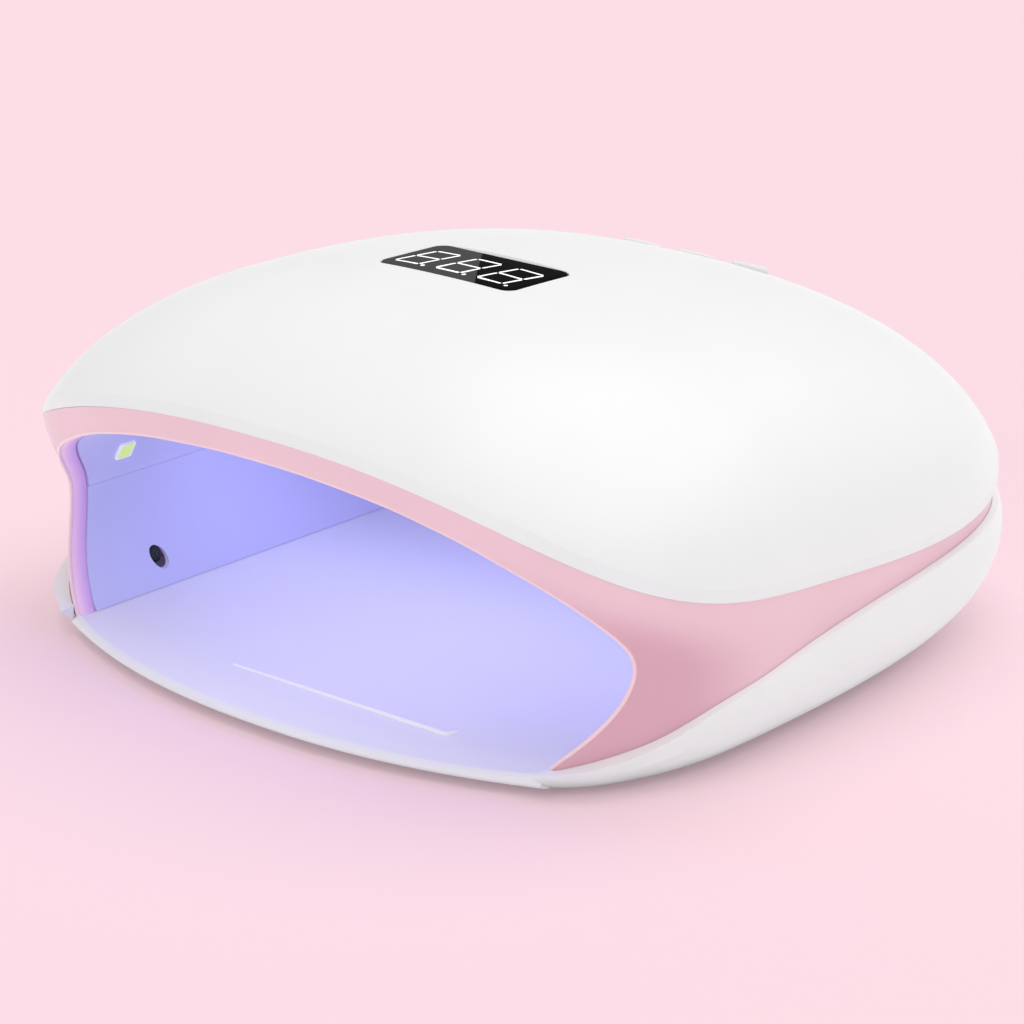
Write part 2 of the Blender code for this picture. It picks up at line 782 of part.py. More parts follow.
def lamps():
    number = 1
    for strip, spots in STRIPS.items():
        for y in spots:
            lamp(f"led_{number:02d}", strip, y)
            number += 1


def strip_boards():
    """One narrow metal-core board behind each row of lamps."""
    for strip, spots in STRIPS.items():
        near = min(spots) - 6.0
        far = max(spots) + 7.0
        board = box(f"led_board_{strip}", (-4.6, near, 2.9), (4.6, far, 4.1), "board_white")
        board.data.transform(lamp_frame(strip, 0.0))


# ---------------------------------------------------------------- display


def display():
    """Smoked window flush with the crown, over a module with three raised digits."""
    outline = rounded_outline(WINDOW_WIDTH, WINDOW_DEPTH, WINDOW_CORNER)
    rings = []
    for share, drop in ((0.35, 0), (0.7, 0), (0.96, 0), (1.0, 0.35), (1.0, WINDOW_THICK), (0.5, WINDOW_THICK)):
        ring = []
        for x, y in outline:
            px, py = x * share + WINDOW_X, y * share + WINDOW_Y
            ring.append((px, py, dome_z(px, py) + 0.1 - drop))
        rings.append(ring)
    crown = dome_z(0, WINDOW_Y) + 0.1
    capped_solid(
        "display_window",
        rings,
        (WINDOW_X, WINDOW_Y, crown),
        (WINDOW_X, WINDOW_Y, crown - WINDOW_THICK),
        "black_glass",
    )
    face = crown - WINDOW_THICK - 1.3
    half_w, half_d = 18.8, 8.6
    low = (-half_w, WINDOW_Y - half_d, face - 7.0)
    module = box("display_module", low, (half_w, WINDOW_Y + half_d, face), "digit_white")
    for place_x in (-12.0, 0.0, 12.0):
        for bar in digit_bars(place_x, WINDOW_Y, face):
            boolean(module, "UNION", bar)


def digit_bars(x, y, face):
    """Seven raised bars and a point of one digit."""
    w, h, t = 3.1, 5.6, 0.55
    low, high = face - 0.4, face + 0.5
    flat = [(x, y + h), (x, y), (x, y - h)]
    tall = [(x - w, y + h / 2), (x + w, y + h / 2), (x - w, y - h / 2), (x + w, y - h / 2)]
    bars = [box("bar", (a - w + 1, b - t, low), (a + w - 1, b + t, high)) for a, b in flat]
    reach_y = h / 2 - 0.8
    bars += [box("bar", (a - t, b - reach_y, low), (a + t, b + reach_y, high)) for a, b in tall]
    bars.append(box("point", (x + w + 1.2, y - h - t, low), (x + w + 2.2, y - h + t, high)))
    return bars


# ---------------------------------------------------------------- buttons


def button_frame(k):
    """Frame of button k (-1, 0, 1): origin on the dome, +Z along the outward normal."""
    slope = (dome_z(0, BUTTON_Y + 0.5) - dome_z(0, BUTTON_Y - 0.5)) / 1.0
    tilt = Matrix.Rotation(atan2(slope, 1.0), 4, "X")
    spot_on = Vector((k * BUTTON_PITCH, BUTTON_Y, dome_z(0, BUTTON_Y)))
    return Matrix.Translation(spot_on * MM) @ tilt


def buttons():
    """Three caps with a retaining flange and a stem, each over its own switch."""
    for k, name in ((-1, "left"), (0, "middle"), (1, "right")):
        outline = rounded_outline(BUTTON_WIDTH, BUTTON_DEPTH, 1.6, 4)
        crown = [(x * 0.93, y * 0.86) for x, y in outline]
        stations = [
            [(x, y, -4.2) for x, y in outline],
            [(x, y, BUTTON_PROUD - 0.6) for x, y in outline],
            [(x, y, BUTTON_PROUD) for x, y in crown],
        ]
        cap = station_solid(f"button_{name}", stations, "white_gloss")
        wide = rounded_outline(BUTTON_WIDTH + 2.4, BUTTON_DEPTH + 2.4, 2.0, 4)
        boolean(cap, "UNION", prism("flange", wide, -5.0, -3.6))
        boolean(cap, "UNION", cylinder("stem", (0, 0, -5.9), 1.6, 4.2, sides=16))
        frame = button_frame(k)
        cap.data.transform(frame.to_3x3().to_4x4())
        cap.location = frame.to_translation()
        body = box(f"switch_{name}", (-3, -3, -13.5), (3, 3, -10.2), "black_plastic")
        bevelled(body, 0.3, 1)
        tip = cylinder("tip", (0, 0, -9.7), 1.7, 1.6, sides=16)
        boolean(body, "UNION", tip)
        body.data.transform(frame)
    span = BUTTON_PITCH + 8.0
    board = box("button_board", (-span, -6.5, -15.4), (span, 6.5, -13.8), "board_green")
    board.data.transform(button_frame(0))


# ---------------------------------------------------------------- electronics and fittings


INLET_Z = 24.0
INLET_FACE_Y = 101.9


def inlet_bore():
    return cylinder("inlet_bore", (0, 96, INLET_Z), 5.3, 30, axis="Y", sides=28)


def dc_inlet():
    """Round supply socket with a centre pin, its face level with the rear wall."""
    length = 15.0
    middle = INLET_FACE_Y - length / 2
    body = cylinder("dc_inlet", (0, middle, INLET_Z), 5.0, length, "Y", 28, "black_plastic")
    bore = cylinder("bore", (0, INLET_FACE_Y - 4.0, INLET_Z), 2.9, 12.0, "Y", 24)
    pin = cylinder("pin", (0, INLET_FACE_Y - 5.5, INLET_Z), 1.0, 9.0, "Y", 12)
    boolean(body, "DIFFERENCE", bore)
    boolean(body, "UNION", pin)
    return body


def sensors():
    """Hand sensor: an emitter behind one wall hole and a receiver behind the other."""
    for side, name in ((-1, "left"), (1, "right")):
        centre = (side * 85.1, SENSOR_Y, SENSOR_Z)
        eye = cylinder(f"sensor_{name}", centre, 2.1, 5.6, "X", 24, "black_plastic")
        near, far = side * 86.8, side * 89.0
        low = (min(near, far), SENSOR_Y - 4.5, SENSOR_Z - 3.5)
        high = (max(near, far), SENSOR_Y + 4.5, SENSOR_Z + 3.5)
        boolean(eye, "UNION", box("sensor_base", low, high))


def boards():
    """Driver board on four spacers over the ceiling."""
    low_z = 71.0
    board = box("main_board", (-32, 2, low_z), (32, 46, low_z + 1.6), "board_green")
    for x in (-27, 27):
        for y in (7, 41):
            foot = ceiling_z(x) + LINER_WALL + 0.9
            post = cylinder("post", (x, y, (foot + low_z + 0.8) / 2), 2.4, low_z + 0.8 - foot, sides=12)
            boolean(board, "UNION", post)
    for x, y, w, d, h in ((-20, 14, 12, 12, 6), (14, 34, 16, 10, 5), (-14, 34, 9, 9, 8), (18, 14, 7, 14, 4)):
        chip = box("chip", (x - w / 2, y - d / 2, low_z + 1.2), (x + w / 2, y + d / 2, low_z + 1.6 + h))
        boolean(board, "UNION", chip)


def feet():
    for number, (x, y) in enumerate(FEET, 1):
        cylinder(f"foot_{number}", (x, y, 0.6), 4.0, 1.2, sides=20, finish="rubber_grey", top_radius=4.4)


def screws():
    for number, (x, y) in enumerate(SCREWS, 1):
        head = cylinder(f"case_screw_{number}", (x, y, 2.1), 2.5, 1.0, sides=16, finish="steel")
        boolean(head, "UNION", cylinder("shank", (x, y, 4.6), 1.2, 4.4, sides=10))
        for w, d in ((1.9, 0.35), (0.35, 1.9)):
            boolean(head, "DIFFERENCE", box("slot", (x - w, y - d, 0.5), (x + w, y + d, 2.1)))


def main():
    clear_scene()
    top_shell()
    middle_frame()
    inner_bezel()
    bottom_shell()
    side_liner()
    ceiling_reflector()
    base_plate()
    display()
    buttons()
    lamps()
    strip_boards()
    boards()
    sensors()
    dc_inlet()
    feet()
    screws()


main()
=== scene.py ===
"""Looks of the UV LED nail lamp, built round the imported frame.

Sizes below are in millimetres in the frame's own axes: +X is the user's right,
-Y is the side of the hand opening, +Z is up, and the feet stand on z = 0.
"""

from functools import lru_cache
from math import atan2, cos, exp, hypot, pi, radians, sin

import bmesh
import bpy
from mathutils import Matrix, Vector
from mathutils.bvhtree import BVHTree
from mathutils.interpolate import poly_3d_calc


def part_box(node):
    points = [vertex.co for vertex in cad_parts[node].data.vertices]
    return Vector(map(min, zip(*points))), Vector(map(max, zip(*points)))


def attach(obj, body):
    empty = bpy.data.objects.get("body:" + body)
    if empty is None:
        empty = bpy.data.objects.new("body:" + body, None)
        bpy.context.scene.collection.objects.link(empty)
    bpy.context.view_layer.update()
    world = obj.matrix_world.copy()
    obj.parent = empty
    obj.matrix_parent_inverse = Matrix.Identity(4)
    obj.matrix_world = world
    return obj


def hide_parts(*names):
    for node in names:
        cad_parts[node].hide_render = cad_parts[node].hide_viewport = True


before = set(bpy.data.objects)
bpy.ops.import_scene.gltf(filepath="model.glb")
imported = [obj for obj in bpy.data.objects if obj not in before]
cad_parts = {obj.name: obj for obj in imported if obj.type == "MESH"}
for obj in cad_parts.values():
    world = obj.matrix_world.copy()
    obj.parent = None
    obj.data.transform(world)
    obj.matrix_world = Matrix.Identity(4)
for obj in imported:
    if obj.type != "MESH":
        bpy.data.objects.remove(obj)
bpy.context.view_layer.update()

MM = 0.001
GAP = 0.3
COLUMNS = 240
# Edges over this many degrees are shaded as edges.
SHARP = 32

# ---- camera and lights

# Azimuth and elevation of the view, its lens in frame widths, and where it stands in metres.
VIEW_AZIMUTH = 41.08
VIEW_ELEVATION = 19.23
VIEW_LENS = 3.3203125
VIEW_PLACE = Vector((0.5320, -0.6185, 0.3120))
SENSOR = 36.0


def add(name, data):
    """A new object in the scene."""
    made = bpy.data.objects.new(name, data)
    bpy.context.scene.collection.objects.link(made)
    return made


def camera():
    data = bpy.data.cameras.new("camera")
    data.sensor_width = SENSOR
    data.lens = SENSOR * VIEW_LENS
    data.clip_end = 60
    seen = add("camera", data)
    seen.location = VIEW_PLACE
    seen.rotation_euler = (radians(90 - VIEW_ELEVATION), 0, radians(VIEW_AZIMUTH))
    bpy.context.scene.camera = seen


BACKDROP = (0.982, 0.730, 0.799)
SKY = 0.90
# Share of the sky's light that is missing to the far left and right.
SIDE_SHADE = 0.28
# Strength, spread in degrees and direction.
SUN = (1.25, 70, (0.15, 0.30, 1.0))
FRONT_FILL = (0.34, 60, (-0.15, -1.0, 0.12))
FLOOR_HALF = 8000
# Divides the floor's own tone, so that open floor comes out as the backdrop; set by trial.
FLOOR_LIT = 1.07
FLOOR_BOUNCE = (0.98, 0.94, 0.96)
FLOOR_EVEN = 0.24


def fill(node, sockets):
    """Sets input sockets of a node, by name or by number."""
    for key, value in sockets.items():
        node.inputs[key].default_value = value
    return node


class Nodes:
    """A tree of shader nodes."""

    def __init__(self, tree):
        self.tree = tree

    def node(self, kind, sockets=None, **values):
        made = self.tree.nodes.new(kind)
        for key, value in values.items():
            setattr(made, key, value)
        return fill(made, sockets or {})

    def link(self, a, b):
        self.tree.links.new(a, b)

    def spread(self, value, low, high, start=0.0, end=1.0):
        limits = {"From Min": start, "From Max": end, "To Min": low, "To Max": high}
        made = self.node("ShaderNodeMapRange", limits)
        self.link(value, made.inputs["Value"])
        return made.outputs["Result"]

    def seen_or_not(self, seen, unseen, output):
        """One shader for what the camera sees directly, another for the light that it throws."""
        mix = self.node("ShaderNodeMixShader")
        self.link(self.node("ShaderNodeLightPath").outputs["Is Camera Ray"], mix.inputs[0])
        self.link(unseen, mix.inputs[1])
        self.link(seen, mix.inputs[2])
        self.link(mix.outputs[0], output)


def sun(name, strength, spread, direction):
    data = bpy.data.lights.new(name, "SUN")
    data.energy = strength
    data.angle = radians(spread)
    add(name, data).rotation_euler = Vector(direction).to_track_quat("Z", "Y").to_euler()


def sky():
    """One tone to the camera; the light that it throws is weaker from the far left and right."""
    world = bpy.data.worlds.new("studio")
    bpy.context.scene.world = world
    world.use_nodes = True
    room = Nodes(world.node_tree)
    room.tree.nodes.clear()
    out = room.node("ShaderNodeOutputWorld")
    across = room.node("ShaderNodeSeparateXYZ")
    room.link(room.node("ShaderNodeTexCoord").outputs["Generated"], across.inputs[0])
    squared = room.node("ShaderNodeMath", operation="MULTIPLY")
    for k in (0, 1):
        room.link(across.outputs["X"], squared.inputs[k])
    thrown = room.node("ShaderNodeBackground")
    room.link(room.spread(squared.outputs[0], SKY, SKY * (1 - SIDE_SHADE)), thrown.inputs["Strength"])
    pink = room.node("ShaderNodeBackground", {"Color": (*BACKDROP, 1)})
    room.seen_or_not(pink.outputs[0], thrown.outputs[0], out.inputs["Surface"])


def floor():
    """One tone to the camera, and a plain bounce for everything else."""
    corners = [(x * FLOOR_HALF, y * FLOOR_HALF, 0) for x, y in ((-1, -1), (1, -1), (1, 1), (-1, 1))]
    ground = piece("floor", corners, [(0, 1, 2, 3)])
    paper = Finish("floor", tuple(c * (1 - FLOOR_EVEN) / FLOOR_LIT for c in BACKDROP), 0.9)
    paper.glowing(BACKDROP, FLOOR_EVEN).matt()
    bounce = paper.node("ShaderNodeBsdfDiffuse", {"Color": (*FLOOR_BOUNCE, 1)})
    surface = paper.tree.nodes["Material Output"].inputs["Surface"]
    paper.seen_or_not(paper.shader.outputs[0], bounce.outputs[0], surface)
    ground.data.materials.append(paper.material)


def studio():
    """A bright even room with one broad soft source overhead, and a pale pink floor."""
    sun("overhead", *SUN)
    sun("front", *FRONT_FILL)
    sky()
    floor()


GLOW = 0.0215
FRONT_GLOW = 0.65 * GLOW
VIOLET = (0.41, 0.41, 0.75)


def glow_strip(name, place, aim, size, power):
    """A strip of violet light that is not seen itself."""
    data = bpy.data.lights.new(name, "AREA")
    data.energy = power
    data.color = VIOLET
    data.shape = "RECTANGLE"
    data.size, data.size_y = size
    light = add(name, data)
    light.location = place
    light.rotation_euler = (Vector(aim) - Vector(place)).to_track_quat("-Z", "Y").to_euler()
    light.visible_camera = False
    light.visible_glossy = False


def glow():
    """The lamp's own light, thrown down from under the ceiling."""
    low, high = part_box("ceiling_reflector")
    middle_y = (low.y + high.y) / 2
    for x, tilt in ((-0.035, 0.01), (0.035, -0.01)):
        place = (x, middle_y, high.z - 0.016)
        glow_strip("glow", place, (x + tilt, middle_y, 0), (0.05, 0.11), GLOW)
    glow_strip("glow_front", (0, -0.068, high.z - 0.012), (0, -0.092, 0), (0.10, 0.012), FRONT_GLOW)


# ---- body surfaces

HALF_WIDTH = 110.0
FRONT_DEPTH = 87.5
REAR_DEPTH = 128.0
TUB_FRONT_DEPTH = 86.5
WIDEST_Y = -23.8
PLAN_POWER = 3.45
WIDEST_Z = 29.0
DOME_RISE = 67.6
DOME_PLAN_POWER = 2.244
DOME_RISE_POWER = 2.563
CROWN_ROUNDING = 1.1
DOME_LEAN = 0.02
TUB_DROP = 46.5
TUB_POWER = 2.58
RIM_Z = 71.8
RIM_ARCH = 24.6
RIM_POWER = 2.51
RIM_FALL = 0.077
RIM_START_Y = -103.8
LIP_FACE_HEIGHT = 2.9
LIP_SET_IN = 1.1
LIP_RETURN = 1.6
TOP_WALL = 2.2
WING_TOP_Z = 34.4
WING_RISE = 26.6
WING_LOWEST_Z = 7.0
WING_START_Y = -87.5
WING_LENGTH = 46.0
WING_DIP = 1.8
WING_DIP_Y = -71.5
WING_DIP_LENGTH = 12.0
LEDGE_WIDTH = 3.0
LEDGE_NIP = 1.5
LEDGE_NIP_MOST = 4.5
LEDGE_SHOWN = 1.5
LEDGE_NIP_DEPTH = 8.0
LEDGE_NIP_Z = 8.0
LEDGE_GAP = 0.06
LEDGE_BLEND = 6.0
CORNER_TUCK = 1.0
CORNER_TUCK_LOW = 1.2
TUCK_Z = 34.0
TUCK_BLEND = 22.0
WING_END_Y = 72.0
WING_END_LENGTH = 30.0
LEDGE_FALL = 0.7
TUB_BOTTOM_Z = 1.5
TUB_FLANGE_Z = 4.6
TUB_FLOOR_LEAST = 5.0
TUB_STEPS = 24
TUB_OPENING_HALF = 73.0
TUB_OPENING_REAR = 80.0
WELL_POWER = 6.0
HIDDEN_GAP = 0.4
FRAME_RECESS = 1.4
FRAME_CLOSING = 12.0
FRAME_TOP_GAP = 0.08
FRAME_WALL = 2.4
FRAME_BOTTOM_Z = 4.9
WAIST_DEPTH = 18.0
WAIST_HALF = 101.3
WAIST_FRONT = 72.9
WAIST_END_Y = -79.5
WAIST_BLEND = 40.0
CHAMBER_PART_Z = 31.0
CHAMBER_REAR_Y = 54.0
LINER_WALL = 1.5
LINER_BOTTOM_Z = 4.55
WALL_STEPS = 16


def angles():
    return [2 * pi * k / COLUMNS for k in range(COLUMNS)]


def clamped(t, most=1.0):
    return min(max(t, 0.0), most)


def smooth(t):
    t = clamped(t)
    return t * t * (3 - 2 * t)


def reach(turn, half_width, front, rear, power=PLAN_POWER):
    """Distance from the plan centre to a superellipse in one direction."""
    depth = front if sin(turn) < 0 else rear
    across = abs(cos(turn)) / half_width
    along = abs(sin(turn)) / depth
    return (across**power + along**power) ** (-1 / power)


def spot(turn, radius, z):
    return Vector((radius * cos(turn), WIDEST_Y + radius * sin(turn), z))


def dome_share(rise):
    """Size of the dome's plan at a share of its rise, 1 at its foot."""
    return (1 - rise**DOME_RISE_POWER) ** (1 / DOME_PLAN_POWER)


def dome_reach(turn, rise):
    return reach(turn, HALF_WIDTH, FRONT_DEPTH, REAR_DEPTH, PLAN_POWER - CROWN_ROUNDING * rise)


def dome_z(x, y):
    """Height of the dome: its plan outline grows rounder, and leans forward, as it rises."""
    depth = FRONT_DEPTH if y < WIDEST_Y else REAR_DEPTH
    low, high = 0.0, 1.0
    for _ in range(26):
        rise = (low + high) / 2
        power = PLAN_POWER - CROWN_ROUNDING * rise
        plan = abs(x / HALF_WIDTH) ** power + abs((y - WIDEST_Y) / depth) ** power
        inside = plan ** (1 / power) < dome_share(rise)
        low, high = (rise, high) if inside else (low, rise)
    return WIDEST_Z + DOME_RISE * low - DOME_LEAN * low * (y - WIDEST_Y)


def dome_radius(turn, z):
    """Distance from the plan centre to the dome at a height."""
    rise = clamped((z - WIDEST_Z) / DOME_RISE)
    back = dome_reach(turn, rise) * dome_share(rise) * sin(turn)
    rise = clamped((z + DOME_LEAN * rise * back - WIDEST_Z) / DOME_RISE)
    return dome_share(rise) * dome_reach(turn, rise)


def tub_radius(turn, z):
    """Outside of the tub: its own profile below the widest height, the dome's above it.

    The rear corners are drawn in a little under the dome.
    """
    corner = (2 * max(sin(turn), 0.0) * cos(turn)) ** 2
    tuck = corner * (CORNER_TUCK + CORNER_TUCK_LOW * smooth((TUCK_Z - z) / TUCK_BLEND))
    if z >= WIDEST_Z:
        return dome_radius(turn, z) - tuck
    drop = clamped((WIDEST_Z - z) / TUB_DROP, 0.99)
    return (1 - drop**TUB_POWER) ** 0.5 * reach(turn, HALF_WIDTH, TUB_FRONT_DEPTH, REAR_DEPTH) - tuck


def ledge_fall(ledge):
    """Drop from the ledge's inner line to its edge, none where the wing is at its lowest."""
    return LEDGE_FALL * smooth((ledge - WING_LOWEST_Z) / LEDGE_BLEND)


def tub_side(turn, z):
    """The tub's outer face, drawn in towards its ledge so that only a narrow ledge shows."""
    below = max(wing_z(turn) - z, 0.0)
    side = tub_radius(turn, z) - ledge_nip(turn) * exp(-below / LEDGE_NIP_DEPTH)
    return max(side, frame_radius(turn, z) + LEDGE_SHOWN)


@lru_cache(maxsize=None)
def ledge_nip(turn):
    """How far the tub's upper edge is drawn in, more where the frame's waist is."""
    ledge = wing_z(turn)
    spare = tub_radius(turn, ledge) - frame_radius(turn, ledge) - LEDGE_SHOWN
    extra = min(max(spare, LEDGE_NIP), LEDGE_NIP_MOST) - LEDGE_NIP
    return LEDGE_NIP + extra * smooth((ledge - LEDGE_NIP_Z) / LEDGE_BLEND)


def rim_z(x, y):
    return RIM_Z - RIM_ARCH * abs(x / HALF_WIDTH) ** RIM_POWER - RIM_FALL * (y - RIM_START_Y)


@lru_cache(maxsize=None)
def rim_at(turn, lift=0.0):
    """(radius, z) where the dome meets its lower rim, or a line lift above it."""
    radius = 100.0
    for _ in range(40):
        x, y, _ = spot(turn, radius, 0)
        radius = (radius + dome_radius(turn, rim_z(x, y) + lift)) / 2
    x, y, _ = spot(turn, radius, 0)
    return radius, rim_z(x, y) + lift


@lru_cache(maxsize=None)
def wing_z(turn):
    """Height of the ledge's inner line on the tub, never above the dome's rim."""
    top = rim_at(turn)[1]
    z = WIDEST_Z
    for _ in range(20):
        y = spot(turn, tub_radius(turn, z), 0)[1]
        z = WING_TOP_Z - WING_RISE * exp(-(y - WING_START_Y) / WING_LENGTH)
        z -= WING_DIP * exp(-(((y - WING_DIP_Y) / WING_DIP_LENGTH) ** 2))
        z += (top - z) * smooth((y - WING_END_Y) / WING_END_LENGTH)
        z = min(max(z, WING_LOWEST_Z), top - 2 * GAP)
    return z


@lru_cache(maxsize=None)
def waist_at(turn):
    waist = tub_radius(turn, wing_z(turn)) - LEDGE_WIDTH - GAP
    if sin(turn) < 0:
        narrow = reach(turn, WAIST_HALF, WAIST_FRONT, REAR_DEPTH)
        widen = smooth((spot(turn, waist, 0)[1] - WAIST_END_Y) / WAIST_BLEND)
        waist = min(waist, narrow + (waist - narrow) * widen)
    return waist


def frame_radius(turn, z):
    """Outside of the middle frame: from under the lip in to the waist, or to the tub's ledge."""
    rim_radius, top = rim_at(turn)
    ledge = wing_z(turn)
    waist = waist_at(turn)
    depth = max(min(WAIST_DEPTH, top - ledge), 1.0)
    start = rim_radius - FRAME_RECESS
    if start > waist:
        start = waist + (start - waist) * smooth((top - ledge - 2 * GAP) / FRAME_CLOSING)
    radius = start + (waist - start) * smooth((top - z) / depth)
    if z < ledge:
        radius = min(radius, tub_radius(turn, z) - LEDGE_WIDTH - GAP)
    return radius


# Half width of the mouth at heights above the table, from the floor up to the crown.
MOUTH_TOP_Z = 65.1
MOUTH = (
    (73.5, 0.0),
    (76.0, 4.0),
    (79.4, 8.3),
    (83.0, 12.0),
    (86.4, 16.0),
    (89.4, 20.6),
    (91.4, 25.6),
    (92.2, 31.0),
    (91.0, 36.4),
    (88.0, 41.6),
    (83.4, 46.6),
    (77.6, 50.6),
    (70.4, 54.2),
    (61.4, 57.8),
    (51.0, 60.6),
    (40.0, 62.7),
    (28.0, 64.0),
    (14.0, 64.9),
)


def curve_through(points, steps):
    """Catmull-Rom points through a list of points, steps to each span."""
    found = []
    for k in range(len(points) - 1):
        a = Vector(points[max(k - 1, 0)])
        b = Vector(points[k])
        c = Vector(points[k + 1])
        d = Vector(points[min(k + 2, len(points) - 1)])
        for step in range(steps):
            t = step / steps
            square = (2 * a - 5 * b + 4 * c - d) * t**2
            cube = (3 * b - a - 3 * c + d) * t**3
            found.append(0.5 * (2 * b + (c - a) * t + square + cube))
    found.append(Vector(points[-1]))
    return found


def heading(line, k):
    """The way a line of points goes on at one of them."""
    return line[min(k + 1, len(line) - 1)] - line[max(k - 1, 0)]


def outward(line, k):
    """Unit vector (x, z) that points out of the chamber at a point of its outline."""
    along = heading(line, k)
    return Vector((along.y, -along.x)).normalized()


@lru_cache(maxsize=None)
def mouth_line(grow=0.0, steps=4):
    """The mouth's outline in (x, z), from the right foot over the crown to the left foot."""
    right = list(MOUTH) + [(0.0, MOUTH_TOP_Z)]
    whole = right + [(-x, z) for x, z in MOUTH[::-1]]
    line = curve_through(whole, steps)
    return [point + outward(line, k) * grow for k, point in enumerate(line)]


@lru_cache(maxsize=None)
def mouth_above(floor_z, grow, steps):
    """The mouth's outline cut off level at a height."""
    line = mouth_line(grow, steps)
    kept = []
    for before, after in zip(line, line[1:]):
        if (before.y > floor_z) != (after.y > floor_z):
            kept.append(before.lerp(after, (floor_z - before.y) / (after.y - before.y)))
        if after.y > floor_z:
            kept.append(after)
    return kept


@lru_cache(maxsize=None)
def mouth_half(z):
    """Half width of the mouth at a height up to its widest point."""
    line = [p for p in mouth_line(0.0, 5) if p.x > 0]
    for a, b in zip(line, line[1:]):
        if a.y <= z <= b.y:
            return a.x + (b.x - a.x) * (z - a.y) / (b.y - a.y)
    return line[0].x


@lru_cache(maxsize=None)
def front_y(x, z):
    """Where the middle frame's outer face stands, seen from the front at (x, z)."""
    low, high = -pi / 2, -0.05
    for _ in range(20):
        turn = (low + high) / 2
        short = frame_radius(turn, z) * cos(turn) < abs(x)
        low, high = (turn, high) if short else (low, turn)
    return WIDEST_Y + frame_radius(turn, z) * sin(turn)


# ---- mesh helpers


def piece(name, points, faces):
    mesh = bpy.data.meshes.new(name)
    mesh.from_pydata([Vector(p) * MM for p in points], [], faces)
    work = bmesh.new()
    work.from_mesh(mesh)
    bmesh.ops.recalc_face_normals(work, faces=work.faces)
    work.to_mesh(mesh)
    work.free()
    return add(name, mesh)


def rings_to_faces(rings, around=True, closed=True):
    """Quads between neighbouring rings. around joins each ring's ends, closed the last ring to the first."""
    size = len(rings[0])
    faces = []
    for r in range(len(rings) if closed else len(rings) - 1):
        below = r * size
        above = ((r + 1) % len(rings)) * size
        for k in range(size if around else size - 1):
            after = (k + 1) % size
            faces.append((below + k, below + after, above + after, above + k))
    return faces


def flat(rings):
    return [p for ring in rings for p in ring]


def hoop(name, rings):
    return piece(name, flat(rings), rings_to_faces(rings))


def lens(name, rings, first, last):
    faces = rings_to_faces(rings, closed=False)
    size = len(rings[0])
    start = (len(rings) - 1) * size
    count = len(rings) * size
    for k in range(size):
        after = (k + 1) % size
        faces.append((after, k, count))
        faces.append((start + k, start + after, count + 1))
    return piece(name, flat(rings) + [first, last], faces)


def bar(name, stations):
    faces = rings_to_faces(stations, closed=False)
    size = len(stations[0])
    faces.append(tuple(range(size))[::-1])
    faces.append(tuple(range((len(stations) - 1) * size, len(stations) * size)))
    return piece(name, flat(stations), faces)


def around(columns):
    """Rings made from one section for each angle."""
    return [[spot(t, c[k].x, c[k].y) for t, c in zip(angles(), columns)] for k in range(len(columns[0]))]


def filleted(profile, radii, steps=3):
    """A line of points whose corners are rounded, each over its own length."""
    found = []
    for k, point in enumerate(profile):
        radius = radii.get(k, 0)
        if not radius:
            found.append(Vector(point))
            continue
        here = Vector(point)
        back = Vector(profile[k - 1]) - here
        ahead = Vector(profile[(k + 1) % len(profile)]) - here
        start = here + back.normalized() * min(radius, back.length * 0.45)
        end = here + ahead.normalized() * min(radius, ahead.length * 0.45)
        for step in range(steps + 1):
            t = step / steps
            found.append(start * (1 - t) ** 2 + here * 2 * t * (1 - t) + end * t**2)
    return found


def sharp_by_angle(obj, degrees_=SHARP):
    obj.data.shade_smooth()
    obj.data.set_sharp_from_angle(angle=radians(degrees_))


def cut(target, cutters):
    """Exact Booleans, after which the untouched surface keeps the shading of the whole one."""
    sharp_by_angle(target)
    whole = target.data.copy()
    for other in cutters:
        step = target.modifiers.new("cut", "BOOLEAN")
        step.operation = "DIFFERENCE"
        step.solver = "EXACT"
        step.object = other
        graph = bpy.context.evaluated_depsgraph_get()
        graph.update()
        done = bpy.data.meshes.new_from_object(target.evaluated_get(graph))
        target.modifiers.clear()
        target.data = done
        bpy.data.objects.remove(other)
    work = bmesh.new()
    work.from_mesh(target.data)
    bmesh.ops.remove_doubles(work, verts=work.verts, dist=0.002 * MM)
    bmesh.ops.dissolve_degenerate(work, dist=0.001 * MM, edges=work.edges)
    big = [face for face in work.faces if len(face.verts) > 4]
    bmesh.ops.triangulate(work, faces=big)
    work.to_mesh(target.data)
    work.free()
    sharp_by_angle(target)
    shade_like(target, whole)
    return target


def shade_like(target, whole):
    """Takes corner normals from the uncut mesh wherever a face still lies on it."""
    mesh = target.data
    tree = BVHTree.FromPolygons([v.co for v in whole.vertices], [p.vertices for p in whole.polygons])
    normals = [Vector(c.vector) for c in mesh.corner_normals]
    source = [Vector(c.vector) for c in whole.corner_normals]
    for polygon in mesh.polygons:
        _, facing, _, off = tree.find_nearest(polygon.center)
        if facing is None or off > 0.05 * MM or facing.dot(polygon.normal) < 0.9:
            continue
        for loop in polygon.loop_indices:
            point = mesh.vertices[mesh.loops[loop].vertex_index].co
            inward = point.lerp(polygon.center, 0.02)
            near, _, index, _ = tree.find_nearest(inward)
            origin = whole.polygons[index]
            weights = poly_3d_calc([whole.vertices[i].co for i in origin.vertices], near)
            blended = Vector((0, 0, 0))
            for weight, corner in zip(weights, origin.loop_indices):
                blended += source[corner] * weight
            if blended.length > 0.1 and blended.normalized().dot(polygon.normal) > 0.7:
                normals[loop] = blended.normalized()
    mesh.normals_split_custom_set([tuple(n) for n in normals])


